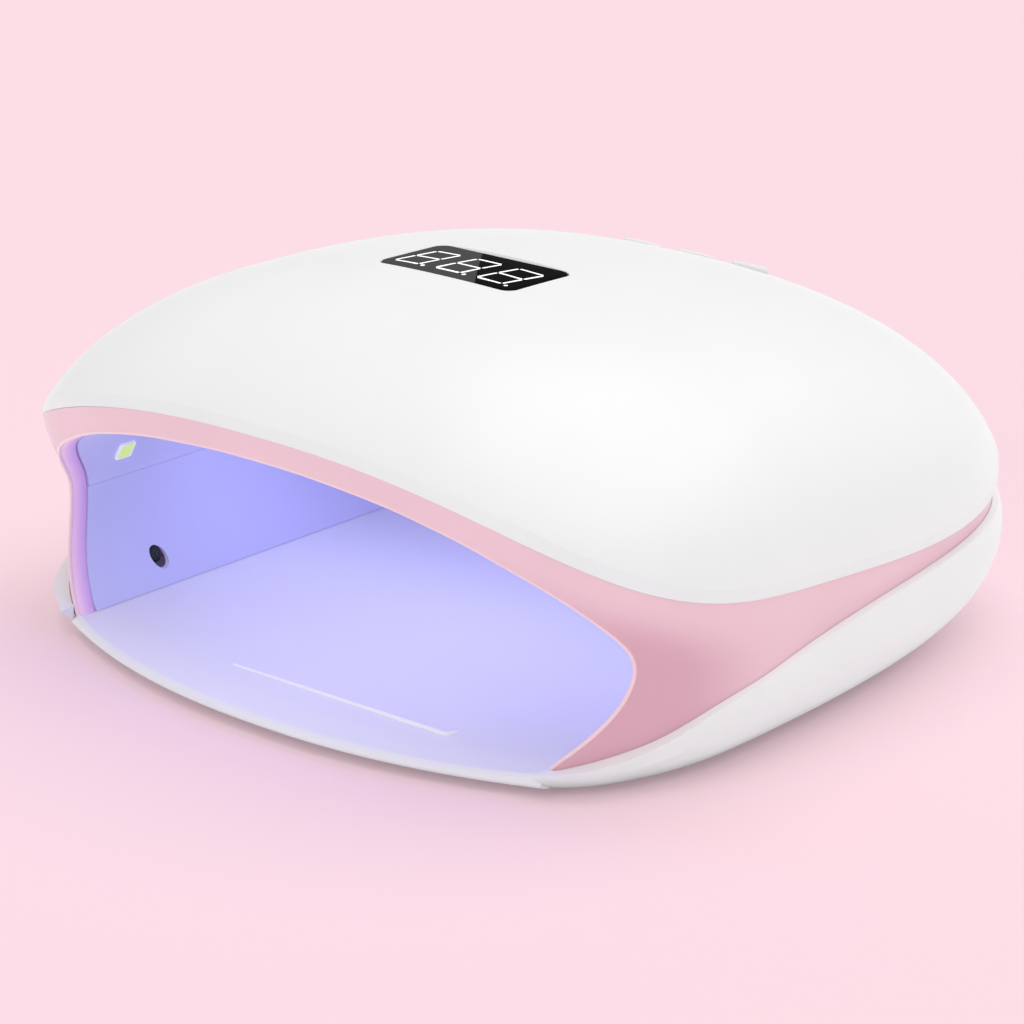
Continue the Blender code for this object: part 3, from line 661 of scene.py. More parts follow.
def box(name, low, high):
    points = [(x, y, z) for x in (low[0], high[0]) for y in (low[1], high[1]) for z in (low[2], high[2])]
    faces = [(0, 1, 3, 2), (4, 6, 7, 5), (0, 4, 5, 1), (2, 3, 7, 6), (0, 2, 6, 4), (1, 5, 7, 3)]
    return piece(name, points, faces)


def circle(sides):
    return [(cos(2 * pi * k / sides), sin(2 * pi * k / sides)) for k in range(sides)]


def turned(name, profile, sides=48, place=None):
    """A solid of revolution from (radius, height) points that start and end on the axis."""
    rings = [[(radius * x, radius * y, z) for x, y in circle(sides)] for radius, z in profile[1:-1]]
    made = lens(name, rings, (0, 0, profile[0][1]), (0, 0, profile[-1][1]))
    if place is not None:
        made.data.transform(place)
    return made


def rod(name, radius, half, place):
    """A plain cylinder that reaches half its length to each side."""
    return turned(name, ((0, -half), (radius, -half), (radius, half), (0, half)), 40, place)


def placed(x, y, z, turn=0.0, axis="X"):
    """The move to a point in millimetres, after a turn about one axis."""
    return Matrix.Translation(Vector((x, y, z)) * MM) @ Matrix.Rotation(turn, 4, axis)


def middle_of(node):
    low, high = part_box(node)
    return (low + high) / 2 / MM


def rounded_outline(width, depth, corner, steps=8):
    points = []
    for quarter, (sx, sy) in enumerate(((1, 1), (-1, 1), (-1, -1), (1, -1))):
        for k in range(steps + 1):
            turn = (quarter + k / steps) * pi / 2
            x = sx * (width / 2 - corner) + corner * cos(turn)
            y = sy * (depth / 2 - corner) + corner * sin(turn)
            points.append((x, y))
    return points


def level(outline, z):
    return [(x, y, z) for x, y in outline]


def draped(outline, lift):
    """An outline laid on the dome, or a little above it."""
    return [(x, y, dome_z(x, y) + lift) for x, y in outline]


# Stores, for each point of a piece, how strong its painted shade is.
def mark_painted_shade(obj, value_at):
    values = [value_at(vertex.co / MM) for vertex in obj.data.vertices]
    layer = obj.data.attributes.new("deep", "FLOAT", "POINT")
    layer.data.foreach_set("value", values)


def fitted(made, look, node=None, body="lamp", sharp=None):
    """Shades and colours a finished piece, attaches it to the body that it rides on, and hides the node that
    it replaces.
    """
    if sharp:
        sharp_by_angle(made, sharp)
    made.data.materials.clear()
    made.data.materials.append(LOOKS[look])
    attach(made, body)
    if node:
        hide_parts(node)


# ---- materials


class Finish(Nodes):
    """A Principled material built from object-space noise."""

    def __init__(self, name, colour, roughness, metallic=0.0):
        self.material = bpy.data.materials.new(name)
        self.material.use_nodes = True
        super().__init__(self.material.node_tree)
        self.shader = self.tree.nodes["Principled BSDF"]
        self.set({"Base Color": (*colour, 1), "Roughness": roughness, "Metallic": metallic})
        self.colour = colour
        self.roughness = roughness
        self.place = self.node("ShaderNodeTexCoord").outputs["Object"]

    def set(self, sockets):
        fill(self.shader, sockets)
        return self

    def noise(self, scale, detail=2.0, rough=0.5):
        made = self.node("ShaderNodeTexNoise", {"Scale": scale, "Detail": detail, "Roughness": rough})
        self.link(self.place, made.inputs["Vector"])
        return made.outputs["Fac"]

    def blend(self, factor, first, second):
        made = self.node("ShaderNodeMix", data_type="RGBA")
        self.link(factor, made.inputs["Factor"])
        for colour, name in ((first, "A"), (second, "B")):
            target = [s for s in made.inputs if s.name == name and s.type == "RGBA"][0]
            if hasattr(colour, "is_output"):
                self.link(colour, target)
            else:
                target.default_value = (*colour, 1)
        return [s for s in made.outputs if s.type == "RGBA"][0]

    def varied(self, amount, scale=35.0):
        """Moulded plastic is never one flat tone: a slow drift in colour."""
        low = tuple(c * (1 - amount) for c in self.colour)
        factor = self.spread(self.noise(scale, 3), 0, 1, 0.35, 0.65)
        self.link(self.blend(factor, low, self.colour), self.shader.inputs["Base Color"])
        return self

    def worn(self, amount=0.06, scale=90.0):
        factor = self.noise(scale, 4, 0.6)
        low, high = self.roughness - amount, self.roughness + amount
        self.link(self.spread(factor, low, high, 0.3, 0.7), self.shader.inputs["Roughness"])
        return self

    def grain(self, scale, depth):
        """Fine moulding texture, depth in millimetres."""
        bump = self.node("ShaderNodeBump", {"Distance": depth * MM, "Strength": 1.0})
        self.link(self.noise(scale), bump.inputs["Height"])
        self.link(bump.outputs["Normal"], self.shader.inputs["Normal"])
        return self

    def coated(self, weight, roughness):
        return self.set({"Coat Weight": weight, "Coat Roughness": roughness})

    def matt(self):
        return self.set({"Specular IOR Level": 0.0})

    def glowing(self, colour, strength):
        return self.set({"Emission Color": (*colour, 1), "Emission Strength": strength})

    def split_by_painted_reflection(self, first, second, across, middle):
        """Painted reflection: two tones, the lighter one a painted reflection, that meet along a straight
        line on the piece.
        """
        flat_on = self.node("ShaderNodeVectorMath", {1: across}, operation="DOT_PRODUCT")
        self.link(self.place, flat_on.inputs[0])
        side = self.spread(flat_on.outputs["Value"], 0, 1, middle - 0.2 * MM, middle + 0.2 * MM)
        self.link(self.blend(side, first, second), self.shader.inputs["Base Color"])
        return self

    def with_painted_shade(self, second):
        """Painted shade: turns to a second, darker tone as the piece's own "deep" value goes from 0 to 1."""
        deep = self.node("ShaderNodeAttribute", attribute_name="deep")
        base = self.shader.inputs["Base Color"]
        first = base.links[0].from_socket
        self.link(self.blend(deep.outputs["Fac"], first, second), base)
        return self


WHITE = (0.90, 0.90, 0.905)
# The direction across the window in which its painted reflection gives way to the dark glass, and how far
# along the reflection's edge lies.
WINDOW_REFLECTION_ACROSS = (1.0, 0.774, 0.0)
WINDOW_REFLECTION_EDGE = -15.8 * MM


def finishes():
    made = {
        "shell": Finish("white_shell", WHITE, 0.34).varied(0.012).worn().grain(1400, 0.006),
        "pink": Finish("pink_frame", (0.92, 0.60, 0.675), 0.36).varied(0.03).worn().grain(1500, 0.008),
        "return": Finish("mouth_return", (0.95, 0.68, 0.80), 0.40).varied(0.03).worn().grain(1500, 0.008),
        "edge": Finish("pink_edge", (0.93, 0.66, 0.70), 0.30).varied(0.02).worn(0.04),
        # Painted light: the liner's lavender tone and its violet glow stand in for the lamps' violet light.
        "liner": Finish("liner", (0.60, 0.60, 0.80), 0.42).varied(0.015).worn().grain(900, 0.008),
        "plate": Finish("plate", (0.89, 0.875, 0.89), 0.40).varied(0.004).worn(0.03).grain(1400, 0.004),
        "glass": Finish("smoked_window", (0.012, 0.012, 0.013), 0.07).worn(0.02, 200).coated(0.05, 0.04),
        # The rib's paler tone and its glow are a painted highlight.
        "rib": Finish("plate_rib", (0.96, 0.95, 0.97), 0.35).worn(0.03),
        "digit": Finish("digits", (0.9, 0.9, 0.9), 0.4).worn(0.05),
        "button": Finish("button", WHITE, 0.30).varied(0.01).worn(0.04),
        "package": Finish("lamp_package", (0.92, 0.92, 0.90), 0.4).worn(0.05, 600).grain(3000, 0.01),
        "phosphor": Finish("phosphor", (0.66, 0.82, 0.22), 0.25).varied(0.08, 900),
        "board": Finish("lamp_board", (0.75, 0.75, 0.77), 0.4).varied(0.05, 300).worn(0.08).grain(800, 0.02),
        "green": Finish("board_green", (0.03, 0.20, 0.09), 0.4).varied(0.2, 400).worn(0.1).grain(700, 0.03),
        "black": Finish("black_plastic", (0.02, 0.02, 0.022), 0.42).varied(0.2, 200).worn(0.08),
        "rubber": Finish("foot", (0.62, 0.60, 0.61), 0.7).varied(0.06, 250).worn(0.08).grain(1100, 0.03),
        "steel": Finish("screw", (0.55, 0.55, 0.57), 0.28, 1.0).worn(0.1, 700).grain(1800, 0.006),
        "brass": Finish("contact", (0.80, 0.62, 0.32), 0.3, 1.0).worn(0.08, 700),
    }
    made["black"].grain(1500, 0.01)
    # The window's lighter half is a painted reflection on the dark glass; the glass's own sheen is turned
    # off.
    made["glass"].split_by_painted_reflection((0.066, 0.067, 0.065), (0.004, 0.004, 0.004), WINDOW_REFLECTION_ACROSS, WINDOW_REFLECTION_EDGE).matt()
    # Painted shade: the pink darkens deep in the waist, under the dome's overhang.
    made["pink"].with_painted_shade((0.75, 0.41, 0.51))
    # Painted shade, tinted violet by the lamps' light, deeper in the return, and a painted violet-pink glow
    # over all of it.
    made["return"].with_painted_shade((0.66, 0.44, 0.72)).glowing((0.85, 0.35, 0.75), 0.13)
    # The bead's faint glow is painted light; the bead is no lamp.
    made["edge"].glowing((0.95, 0.68, 0.74), 0.05)
    # Painted violet glow on the liner, which is no lamp.
    made["liner"].glowing((0.44, 0.44, 0.92), 0.12)
    # Painted highlight: the rib glows, though it is no lamp.
    made["rib"].glowing((1.0, 0.97, 1.0), 0.08)
    made["digit"].glowing((1, 1, 1), 0.6)
    made["package"].glowing((0.95, 0.97, 1.0), 0.20)
    made["phosphor"].glowing((0.66, 0.88, 0.22), 0.40)
    return {name: finish.material for name, finish in made.items()}


LOOKS = finishes()


# ---- dome

WINDOW_X = -0.9
WINDOW_WIDTH = 42.8
WINDOW_DEPTH = 23.6
WINDOW_CORNER = 3.0
WINDOW_Y = -21.2
WINDOW_THICK = 1.6
WINDOW_PROUD = 0.1
BUTTON_WIDTH = 10.6
BUTTON_DEPTH = 4.8
BUTTON_PITCH = 18.0
BUTTON_PROUD = 0.9
BUTTON_Y = 65.1
BUTTON_CORNER = 1.6
DIGIT_X = -0.8
DIGIT_Y = WINDOW_Y - 2.0
DIGIT_HALF_WIDTH = 3.95
DIGIT_HALF_HEIGHT = 6.5
DIGIT_PITCH = 13.4
DIGIT_SLANT = 0.17
STROKE = 0.33
DIGIT_LIFT = 0.13
# Rings of the dome, closer together towards its rim.
DOME_SHARES = [sin(pi / 2 * (k / 34)) * 0.992 for k in range(1, 34)]


def window_outline(grow):
    line = rounded_outline(WINDOW_WIDTH + 2 * grow, WINDOW_DEPTH + 2 * grow, WINDOW_CORNER + grow)
    return [(x + WINDOW_X, y + WINDOW_Y) for x, y in line]


def button_frame(k):
    slope = dome_z(0, BUTTON_Y + 0.5) - dome_z(0, BUTTON_Y - 0.5)
    return placed(k * BUTTON_PITCH, BUTTON_Y, dome_z(0, BUTTON_Y), atan2(slope, 1.0))


def button_outline(grow):
    corner = max(BUTTON_CORNER + grow, 0.4)
    return rounded_outline(BUTTON_WIDTH + 2 * grow, BUTTON_DEPTH + 2 * grow, corner)


def plan_ring(radii, share):
    """(x, y) of a ring, at a share of the way from the plan centre to its radii."""
    return [spot(turn, share * radius, 0).xy for turn, radius in zip(angles(), radii)]


def under_dome(x, y):
    """Height of the cover's inner face."""
    slope = hypot(dome_z(x + 1, y) - dome_z(x, y), dome_z(x, y + 1) - dome_z(x, y))
    return dome_z(x, y) - TOP_WALL * hypot(1, min(slope, 2.0))


def dome():
    """Domed cover: a smooth shell with a bevelled lip, chamfered window and button openings."""
    edges = [rim_at(turn, LIP_FACE_HEIGHT) for turn in angles()]
    lows = [rim_at(turn) for turn in angles()]
    rings = [draped(plan_ring([radius for radius, _ in edges], share), 0) for share in DOME_SHARES]
    columns = []
    for turn, (radius, z), (low_radius, low_z) in zip(angles(), edges, lows):
        x, y, _ = spot(turn, 0.985 * radius, 0)
        lip = [(0.985 * radius, dome_z(x, y)), (radius, z)]
        lip += [(low_radius - LIP_SET_IN, low_z), (low_radius - LIP_SET_IN - LIP_RETURN, low_z)]
        columns.append(filleted(lip, {1: 0.22, 2: 0.2})[1:])
    rings += around(columns)
    for share in (0.955, 0.85, 0.70, 0.50, 0.25):
        line = plan_ring([radius - TOP_WALL for radius, _ in edges], share)
        rings.append([(x, y, under_dome(x, y)) for x, y in line])
    crown = (0, WIDEST_Y, dome_z(0, WIDEST_Y))
    under = (0, WIDEST_Y, dome_z(0, WIDEST_Y) - TOP_WALL)
    shell = lens("dome_cover", rings, crown, under)
    cutters = [window_cutter()]
    for k in (-1, 0, 1):
        cutter = bar("button_cut", [level(button_outline(GAP), z) for z in (-9, 9)])
        cutter.data.transform(button_frame(k))
        cutters.append(cutter)
    fitted(cut(shell, cutters), "shell", "top_shell")


def window_cutter():
    """Follows the dome and opens out at its surface, for a chamfered edge."""
    steps = ((GAP, -12.0), (GAP, -0.25), (GAP + 0.25, 0.05), (GAP + 2.0, 1.8))
    return bar("window_cut", [draped(window_outline(grow), lift) for grow, lift in steps])


def lean(value, middle, share):
    return middle + (value - middle) * share


def display():
    """Smoked window flush with the dome, with three slanted seven-segment digits under its face."""
    rings = []
    for share in (0.2, 0.4, 0.6, 0.8, 0.93):
        line = [(lean(x, WINDOW_X, share), lean(y, WINDOW_Y, share)) for x, y in window_outline(0)]
        rings.append(draped(line, WINDOW_PROUD))
    for grow, drop in ((-0.22, -0.1), (-0.08, -0.04), (0.0, 0.12), (0.0, WINDOW_THICK), (-6.0, WINDOW_THICK)):
        rings.append(draped(window_outline(grow), -drop))
    top = dome_z(0, WINDOW_Y) + WINDOW_PROUD
    under = (WINDOW_X, WINDOW_Y, top - WINDOW_PROUD - WINDOW_THICK)
    glass = lens("display_glass", rings, (WINDOW_X, WINDOW_Y, top), under)
    fitted(glass, "glass", "display_window", sharp=40)
    digits()


def digits():
    """Slanted seven-segment figures with points, lit, level with the face of the window."""
    w, h = DIGIT_HALF_WIDTH, DIGIT_HALF_HEIGHT
    g = 0.5
    lines = [((-w + g, y), (w - g, y)) for y in (h, 0, -h)]
    lines += [((x, top), (x, low)) for top, low in ((h - g, g), (-g, -h + g)) for x in (-w, w)]
    points = []
    faces = []
    for place in (-1, 0, 1):
        for start, end in lines:
            add_stroke(points, faces, place * DIGIT_PITCH + DIGIT_X, start, end)
        dot_x = place * DIGIT_PITCH + w + 1.7 + DIGIT_X
        add_stroke(points, faces, dot_x, (-0.25, -h - 0.4), (0.25, -h - 0.4), STROKE * 1.4)
    fitted(piece("display_digits", points, faces), "digit")


def add_stroke(points, faces, shift, start, end, half=STROKE):
    """One segment: a thin bar with pointed ends that follows the window's face."""
    along = Vector((end[0] - start[0], end[1] - start[1])).normalized()
    side = Vector((-along.y, along.x)) * half
    a, b = Vector(start), Vector(end)
    outline = [a - along * half * 0.6, a - side, b - side, b + along * half * 0.6, b + side, a + side]
    first = len(points)
    for lift in (0.0, DIGIT_LIFT):
        for corner in outline:
            x = corner.x + corner.y * DIGIT_SLANT + shift
            y = corner.y + DIGIT_Y
            points.append((x, y, dome_z(x, y) + lift))
    count = len(outline)
    faces.append(tuple(first + k for k in range(count))[::-1])
    faces.append(tuple(first + count + k for k in range(count)))
    for k in range(count):
        after = (k + 1) % count
        faces.append((first + k, first + after, first + count + after, first + count + k))


def buttons():
    """Low rounded caps, each with its retaining flange and stem."""
    profile = [(-1.4, -5.0), (1.2, -5.0), (1.2, -3.6), (0.0, -3.6), (0.0, 0.0)]
    profile += [(0.0, BUTTON_PROUD - 0.55), (-0.12, BUTTON_PROUD - 0.2), (-0.5, BUTTON_PROUD - 0.02)]
    stick = ((0, -8.0), (1.3, -8.0), (1.6, -7.7), (1.6, -4.9), (0, -4.9))
    for k, name in ((-1, "left"), (0, "middle"), (1, "right")):
        body = f"button_{name}"
        rings = [level(button_outline(grow), z) for grow, z in profile]
        rings.append([(x * 0.55, y * 0.55, BUTTON_PROUD + 0.08) for x, y, _ in rings[-1]])
        cap = lens(f"cap_{name}", rings, (0, 0, -5.0), (0, 0, BUTTON_PROUD + 0.12))
        cap.data.transform(button_frame(k))
        fitted(cap, "button", body, body, 50)
        stem = turned(f"stem_{name}", stick, 24)
        stem.data.transform(button_frame(k))
        fitted(stem, "button", None, body, SHARP)


# ---- frame, bezel and chamber

# Radius of the edge round the opening, and depth of the return behind it.
BEAD = 0.5
RETURN_DEPTH = 6.3
REAR_FILLET = 10.0
QUARTER = [step / 8 * pi / 2 for step in range(1, 9)]
SENSOR_Y = -53.8
SENSOR_Z = 10.6
# Where the painted shade in the waist and in the return starts, and over what distance it comes in.
WAIST_SHADE = (1.5, 5.0)
RETURN_SHADE = (1.0, RETURN_DEPTH - 1.5)


def mouth_prism(name, grow, near, far):
    line = mouth_line(grow)
    outline = [(line[0].x, -6.0)] + [(p.x, p.y) for p in line] + [(line[-1].x, -6.0)]
    return bar(name, [[(x, y, z) for x, z in outline] for y in (near, far)])


def inlet_bore():
    return rod("bore", 5.3, 15, placed(0, 96, 24, -pi / 2))


def frame_heights(turn):
    """Heights down the frame's face: from the rim to the ledge, then to its foot inside the tub."""
    top, ledge = rim_at(turn)[1] - FRAME_TOP_GAP, wing_z(turn)
    upper = [top + (ledge - top) * (k / 22) for k in range(22)]
    return upper + [ledge + (FRAME_BOTTOM_Z - ledge) * (k / 7) for k in range(8)]


def waist_frame():
    """Pink waisted band between dome and tub, with painted shade deep in its waist."""
    rows = list(zip(*[frame_heights(turn) for turn in angles()]))
    outer, inner = [
        [[spot(t, frame_radius(t, z) - wall, z) for t, z in zip(angles(), row)] for row in rows]
        for wall in (0.0, FRAME_WALL)
    ]
    band = hoop("waist_frame", outer + inner[::-1])
    cut(band, [mouth_prism("mouth", BEAD, -140, WIDEST_Y - 5), inlet_bore()])
    mark_painted_shade(band, waist_shade_share)
    fitted(band, "pink", "middle_frame")


def waist_shade_share(point):
    """How deep a point lies in the waist, which sets how dark its painted shade is: 0 under the lip, 1 at its
    narrowest.
    """
    turn = atan2(point.y - WIDEST_Y, point.x) % (2 * pi)
    nearest = angles()[round(turn / (2 * pi) * COLUMNS) % COLUMNS]
    recess = rim_at(nearest)[0] - hypot(point.x, point.y - WIDEST_Y)
    return smooth((recess - WAIST_SHADE[0]) / WAIST_SHADE[1])


def mouth_bead():
    """The rounded, paler edge that runs round the hand opening; part of its paleness is a painted glow."""
    line = mouth_above(PLATE_TOP_Z + 0.2, BEAD * 0.95, 4)
    centres = [Vector((p.x, front_y(p.x, p.y) + BEAD * 0.9, p.y)) for p in line]
    stations = []
    for k, centre in enumerate(centres):
        along = heading(centres, k).normalized()
        side = along.cross(Vector((0, 1, 0))).normalized()
        up = side.cross(along)
        stations.append([centre + (side * x + up * y) * BEAD for x, y in circle(12)])
    fitted(bar("mouth_bead", stations), "edge", sharp=60)


def return_shade_share(point):
    """How far back a point lies on the return, which sets how dark its painted shade is: 0 at its front edge,
    1 at the chamber.
    """
    half = mouth_half(CHAMBER_PART_Z)
    depth = point.y - front_y(max(-half, min(point.x, half)), point.z)
    return smooth((depth - RETURN_SHADE[0]) / RETURN_SHADE[1])


def mouth_return():
    """The inner return of the opening, from its bead back to the chamber's lining, with painted shade and a
    painted glow.
    """
    line = mouth_above(PLATE_TOP_Z + 0.15, 0.0, 5)
    steps = [(0.5, 1.0), (0.15, 1.4), (0.0, 2.2), (0.0, 4.0), (0.0, 5.5), (0.25, 6.0), (0.8, RETURN_DEPTH)]
    steps += [(1.9, RETURN_DEPTH), (1.9, 1.0 + FRAME_WALL)]
    stations = []
    for k, point in enumerate(line):
        away = outward(line, k)
        face = front_y(point.x, point.y)
        section = []
        for flare, depth in steps:
            section.append((point.x + away.x * flare, face + depth, point.y + away.y * flare))
        stations.append(section)
    made = bar("mouth_return", stations)
    mark_painted_shade(made, return_shade_share)
    fitted(made, "return", "inner_bezel", sharp=50)


def lining_rows(line, first_depth, grow):
    """Outlines of the lining from its front edge to its rear wall, whose corner is rounded."""
    out = [point + outward(line, k) * grow for k, point in enumerate(line)]
    starts = [front_y(point.x, point.y) + first_depth for point in line]
    straight_end = CHAMBER_REAR_Y - REAR_FILLET
    rows = []
    for share in (0.0, 0.02, 0.06, 0.14, 0.26, 0.42, 0.60, 0.80, 1.0):
        rows.append([Vector((p.x, y + (straight_end - y) * share, p.y)) for p, y in zip(out, starts)])
    for turn in QUARTER:
        inset = (REAR_FILLET + grow) * (1 - cos(turn))
        y = straight_end + (REAR_FILLET + grow) * sin(turn)
        moved = [point - outward(line, k) * inset for k, point in enumerate(out)]
        rows.append([Vector((point.x, y, point.y)) for point in moved])
    return rows


def lamp_opening(x, y):
    """A cutter for one lamp's square opening, which is flared towards the hand."""
    hole = rounded_outline(5.7, 5.7, 0.5, 3)
    steps = ((-4.0, 1.3), (-0.4, 1.05), (0.15, 1.0), (6.0, 1.0))
    cutter = bar("lamp_cut", [[(a * scale, b * scale, z) for a, b in hole] for z, scale in steps])
    cutter.data.transform(lamp_frame(x, y))
    return cutter


def chamber_ceiling():
    """Vaulted reflector with a rounded rear end and a square opening for each lamp."""
    part = CHAMBER_PART_Z + GAP / 3
    line = mouth_above(part, 0.0, 5)
    inner = lining_rows(line, RETURN_DEPTH + 0.35, 0.0)
    outer = lining_rows(line, RETURN_DEPTH + 0.35, LINER_WALL)
    for row in inner + outer:
        row[0].z = part
        row[-1].z = part
    size = len(line)
    rows = len(inner)
    faces = rings_to_faces(inner, around=False, closed=False)
    start = rows * size
    faces += [tuple(start + k for k in face[::-1]) for face in faces]
    for k in range(size - 1):
        faces.append((k, start + k, start + k + 1, k + 1))
    for r in range(rows - 1):
        for k in (0, size - 1):
            a, b = r * size + k, (r + 1) * size + k
            faces.append((a, b, start + b, start + a))
    last = (rows - 1) * size
    faces.append(tuple(range(last, last + size)))
    faces.append(tuple(range(start + last, start + last + size)))
    faces.append((last, last + size - 1, start + last + size - 1, start + last))
    made = piece("chamber_ceiling", flat(inner) + flat(outer), faces)
    cut(made, [lamp_opening(x, y) for x, y in lamp_places()])
    fitted(made, "liner", "ceiling_reflector")


def wall_path(z, grow):
    """Plan line of the chamber's side and rear walls at a height."""
    half = mouth_half(z)
    start = front_y(half, z) + RETURN_DEPTH + 0.1
    straight_end = CHAMBER_REAR_Y - REAR_FILLET
    shares = (0, 0.03, 0.1, 0.25, 0.45, 0.65, 0.85, 1)
    side = [(half + grow, start + (straight_end - start) * share) for share in shares]
    end, radius = half - REAR_FILLET, REAR_FILLET + grow
    side += [(end + radius * cos(turn), straight_end + radius * sin(turn)) for turn in QUARTER]
    across = [(x * end, CHAMBER_REAR_Y + grow) for x in (0.6, 0.2, -0.2, -0.6)]
    return side + across + [(-x, y) for x, y in side[::-1]]


def chamber_wall():
    """Side walls and rear wall of the chamber in one piece, with the two sensor holes."""
    top = CHAMBER_PART_Z
    stations = []
    for k in range(WALL_STEPS + 1):
        z = LINER_BOTTOM_Z + (top - LINER_BOTTOM_Z) * k / WALL_STEPS
        stations.append(level(wall_path(z, 0.0) + wall_path(z, LINER_WALL)[::-1], z))
    made = bar("chamber_wall", stations)
    cut(made, [rod("eye_cut", 2.6, 100, placed(0, SENSOR_Y, SENSOR_Z, pi / 2, "Y"))])
    fitted(made, "liner", "side_liner")


def sensors():
    """Hand sensor behind each wall hole: a barrel with a lens and a small board."""
    for side, name in ((-1, "left"), (1, "right")):
        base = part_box(f"sensor_{name}")
        tip = abs(base[0].x if side > 0 else base[1].x) / MM
        profile = ((0, 0.5), (1.1, 0.35), (1.6, 0.7), (1.7, 1.0), (2.1, 1.2), (2.1, 4.6), (0, 4.6))
        place = placed(side * tip, SENSOR_Y, SENSOR_Z, side * pi / 2, "Y")
        made = turned(f"eye_{name}", profile, 32, place)
        fitted(made, "black", f"sensor_{name}", sharp=35)
        corners = rounded_outline(8.6, 6.6, 0.6, 3)
        near, far = tip + 3.6, tip + 5.2
        stations = []
        for x, inset in ((near, 0.15), (near + 0.15, 0.0), (far - 0.15, 0.0), (far, 0.15)):
            grow = 1 - inset / 4
            stations.append([(side * x, SENSOR_Y + y * grow, SENSOR_Z + z * grow) for y, z in corners])
        fitted(bar(f"eye_board_{name}", stations), "green")


# ---- lamps

OUTER_SPOTS = (-57.0, -25.0, 7.0, 39.0)
INNER_SPOTS = (-54.0, -16.0, 22.0)
# Each strip of lamps: where it stands across the chamber, and its lamps from front to rear.
STRIPS = (
    (-89.6, OUTER_SPOTS),
    (-56.0, INNER_SPOTS),
    (0.0, INNER_SPOTS),
    (56.0, INNER_SPOTS),
    (89.6, OUTER_SPOTS),
)


def lamp_places():
    return [(x, y) for x, spots in STRIPS for y in spots]


def ceiling_z(x):
    arch = [point for point in MOUTH if point[1] >= CHAMBER_PART_Z] + [(0.0, MOUTH_TOP_Z)]
    for (x1, z1), (x2, z2) in zip(arch, arch[1:]):
        if x2 <= abs(x) <= x1:
            return z1 + (z2 - z1) * (x1 - abs(x)) / (x1 - x2)
    return arch[0][1]


def lamp_frame(x, y):
    """Places a piece on the ceiling: its -Z faces the hand, its origin is on the ceiling."""
    slope = ceiling_z(x + 0.4) - ceiling_z(x - 0.4)
    return placed(x, y, ceiling_z(x), -atan2(slope, 0.8), "Y")


# Half width, height and corner radius of each outline of a lamp package, down its side and over its face.
LAMP_OUTLINES = (
    (2.6, 2.6, 0.3),
    (2.6, -0.38, 0.3),
    (2.54, -0.54, 0.3),
    (2.48, -0.58, 0.3),
    (2.4, -0.58, 0.25),
    (2.36, -0.53, 0.25),
    (2.32, -0.44, 0.25),
    (1.3, -0.48, 0.2),
    (0.6, -0.5, 0.1),
)
LAMP_FACE = 6


def lamps():
    """Square lamp packages: a white rim round a yellow-green face with a faint crown."""
    for number, (x, y) in enumerate(lamp_places(), 1):
        rings = [level(rounded_outline(2 * half, 2 * half, r, 3), z) for half, z, r in LAMP_OUTLINES]
        made = lens(f"lamp_{number:02d}", rings, (0, 0, 2.6), (0, 0, -0.52))
        made.data.transform(lamp_frame(x, y))
        fitted(made, "package", f"led_{number:02d}", sharp=40)
        made.data.materials.append(LOOKS["phosphor"])
        size = len(rings[0])
        face, ends = LAMP_FACE * size, (len(rings) - 1) * size
        for index, polygon in enumerate(made.data.polygons):
            # Past the rings come the triangles of both ends by turns, the upper end's first.
            inside = face <= index < ends or (index >= ends and (index - ends) % 2 == 1)
            polygon.material_index = 1 if inside else 0


# ---- tub and plate


PLATE_HALF = 77.9
PLATE_REAR_Y = 60.0
PLATE_TOP_Z = 4.4
PLATE_UNDER_Z = 3.0
NOSE_Y = -104.2
NOSE_SAG = 16.3
NOSE_POWER = 2.2
PLATE_STEPS = 72
# Plan path of the rib, with its hooked end.
RIB = ((-24.6, -83.0), (43.2, -81.9), (44.4, -81.6), (44.7, -80.6), (44.7, -78.6))
RIB_HALF = ((-0.62, -0.5), (-0.62, 0.25), (-0.42, 0.62))
RIB_SECTION = (*RIB_HALF, (0, 0.76), *((-across, rise) for across, rise in RIB_HALF[::-1]))


def tub_profile(turn):
    """The tub's section at one angle: down its outside, round its well and up its inside."""
    ledge = wing_z(turn)
    edge = ledge - ledge_fall(ledge)
    profile = [(tub_side(turn, edge), edge)]
    for k in range(1, TUB_STEPS + 1):
        z = edge + (TUB_BOTTOM_Z - edge) * (1 - cos(pi / 2 * k / TUB_STEPS))
        profile.append((tub_side(turn, z), z))
    opening = reach(turn, TUB_OPENING_HALF, TUB_OPENING_REAR, TUB_OPENING_REAR, WELL_POWER)
    well = min(opening, tub_radius(turn, TUB_BOTTOM_Z) - TUB_FLOOR_LEAST)
    profile += [(well, TUB_BOTTOM_Z), (well, TUB_FLANGE_Z)]
    profile.append((frame_radius(turn, TUB_FLANGE_Z) + HIDDEN_GAP, TUB_FLANGE_Z))
    for share in (0.85, 0.7, 0.5, 0.3, 0.15):
        z = ledge + (FRAME_BOTTOM_Z - ledge) * share
        profile.append((frame_radius(turn, z) + HIDDEN_GAP, z))
    profile.append((frame_radius(turn, ledge) + LEDGE_GAP, ledge))
    return filleted(profile, {0: 0.35, TUB_STEPS: 0.7, len(profile) - 1: 0.15})


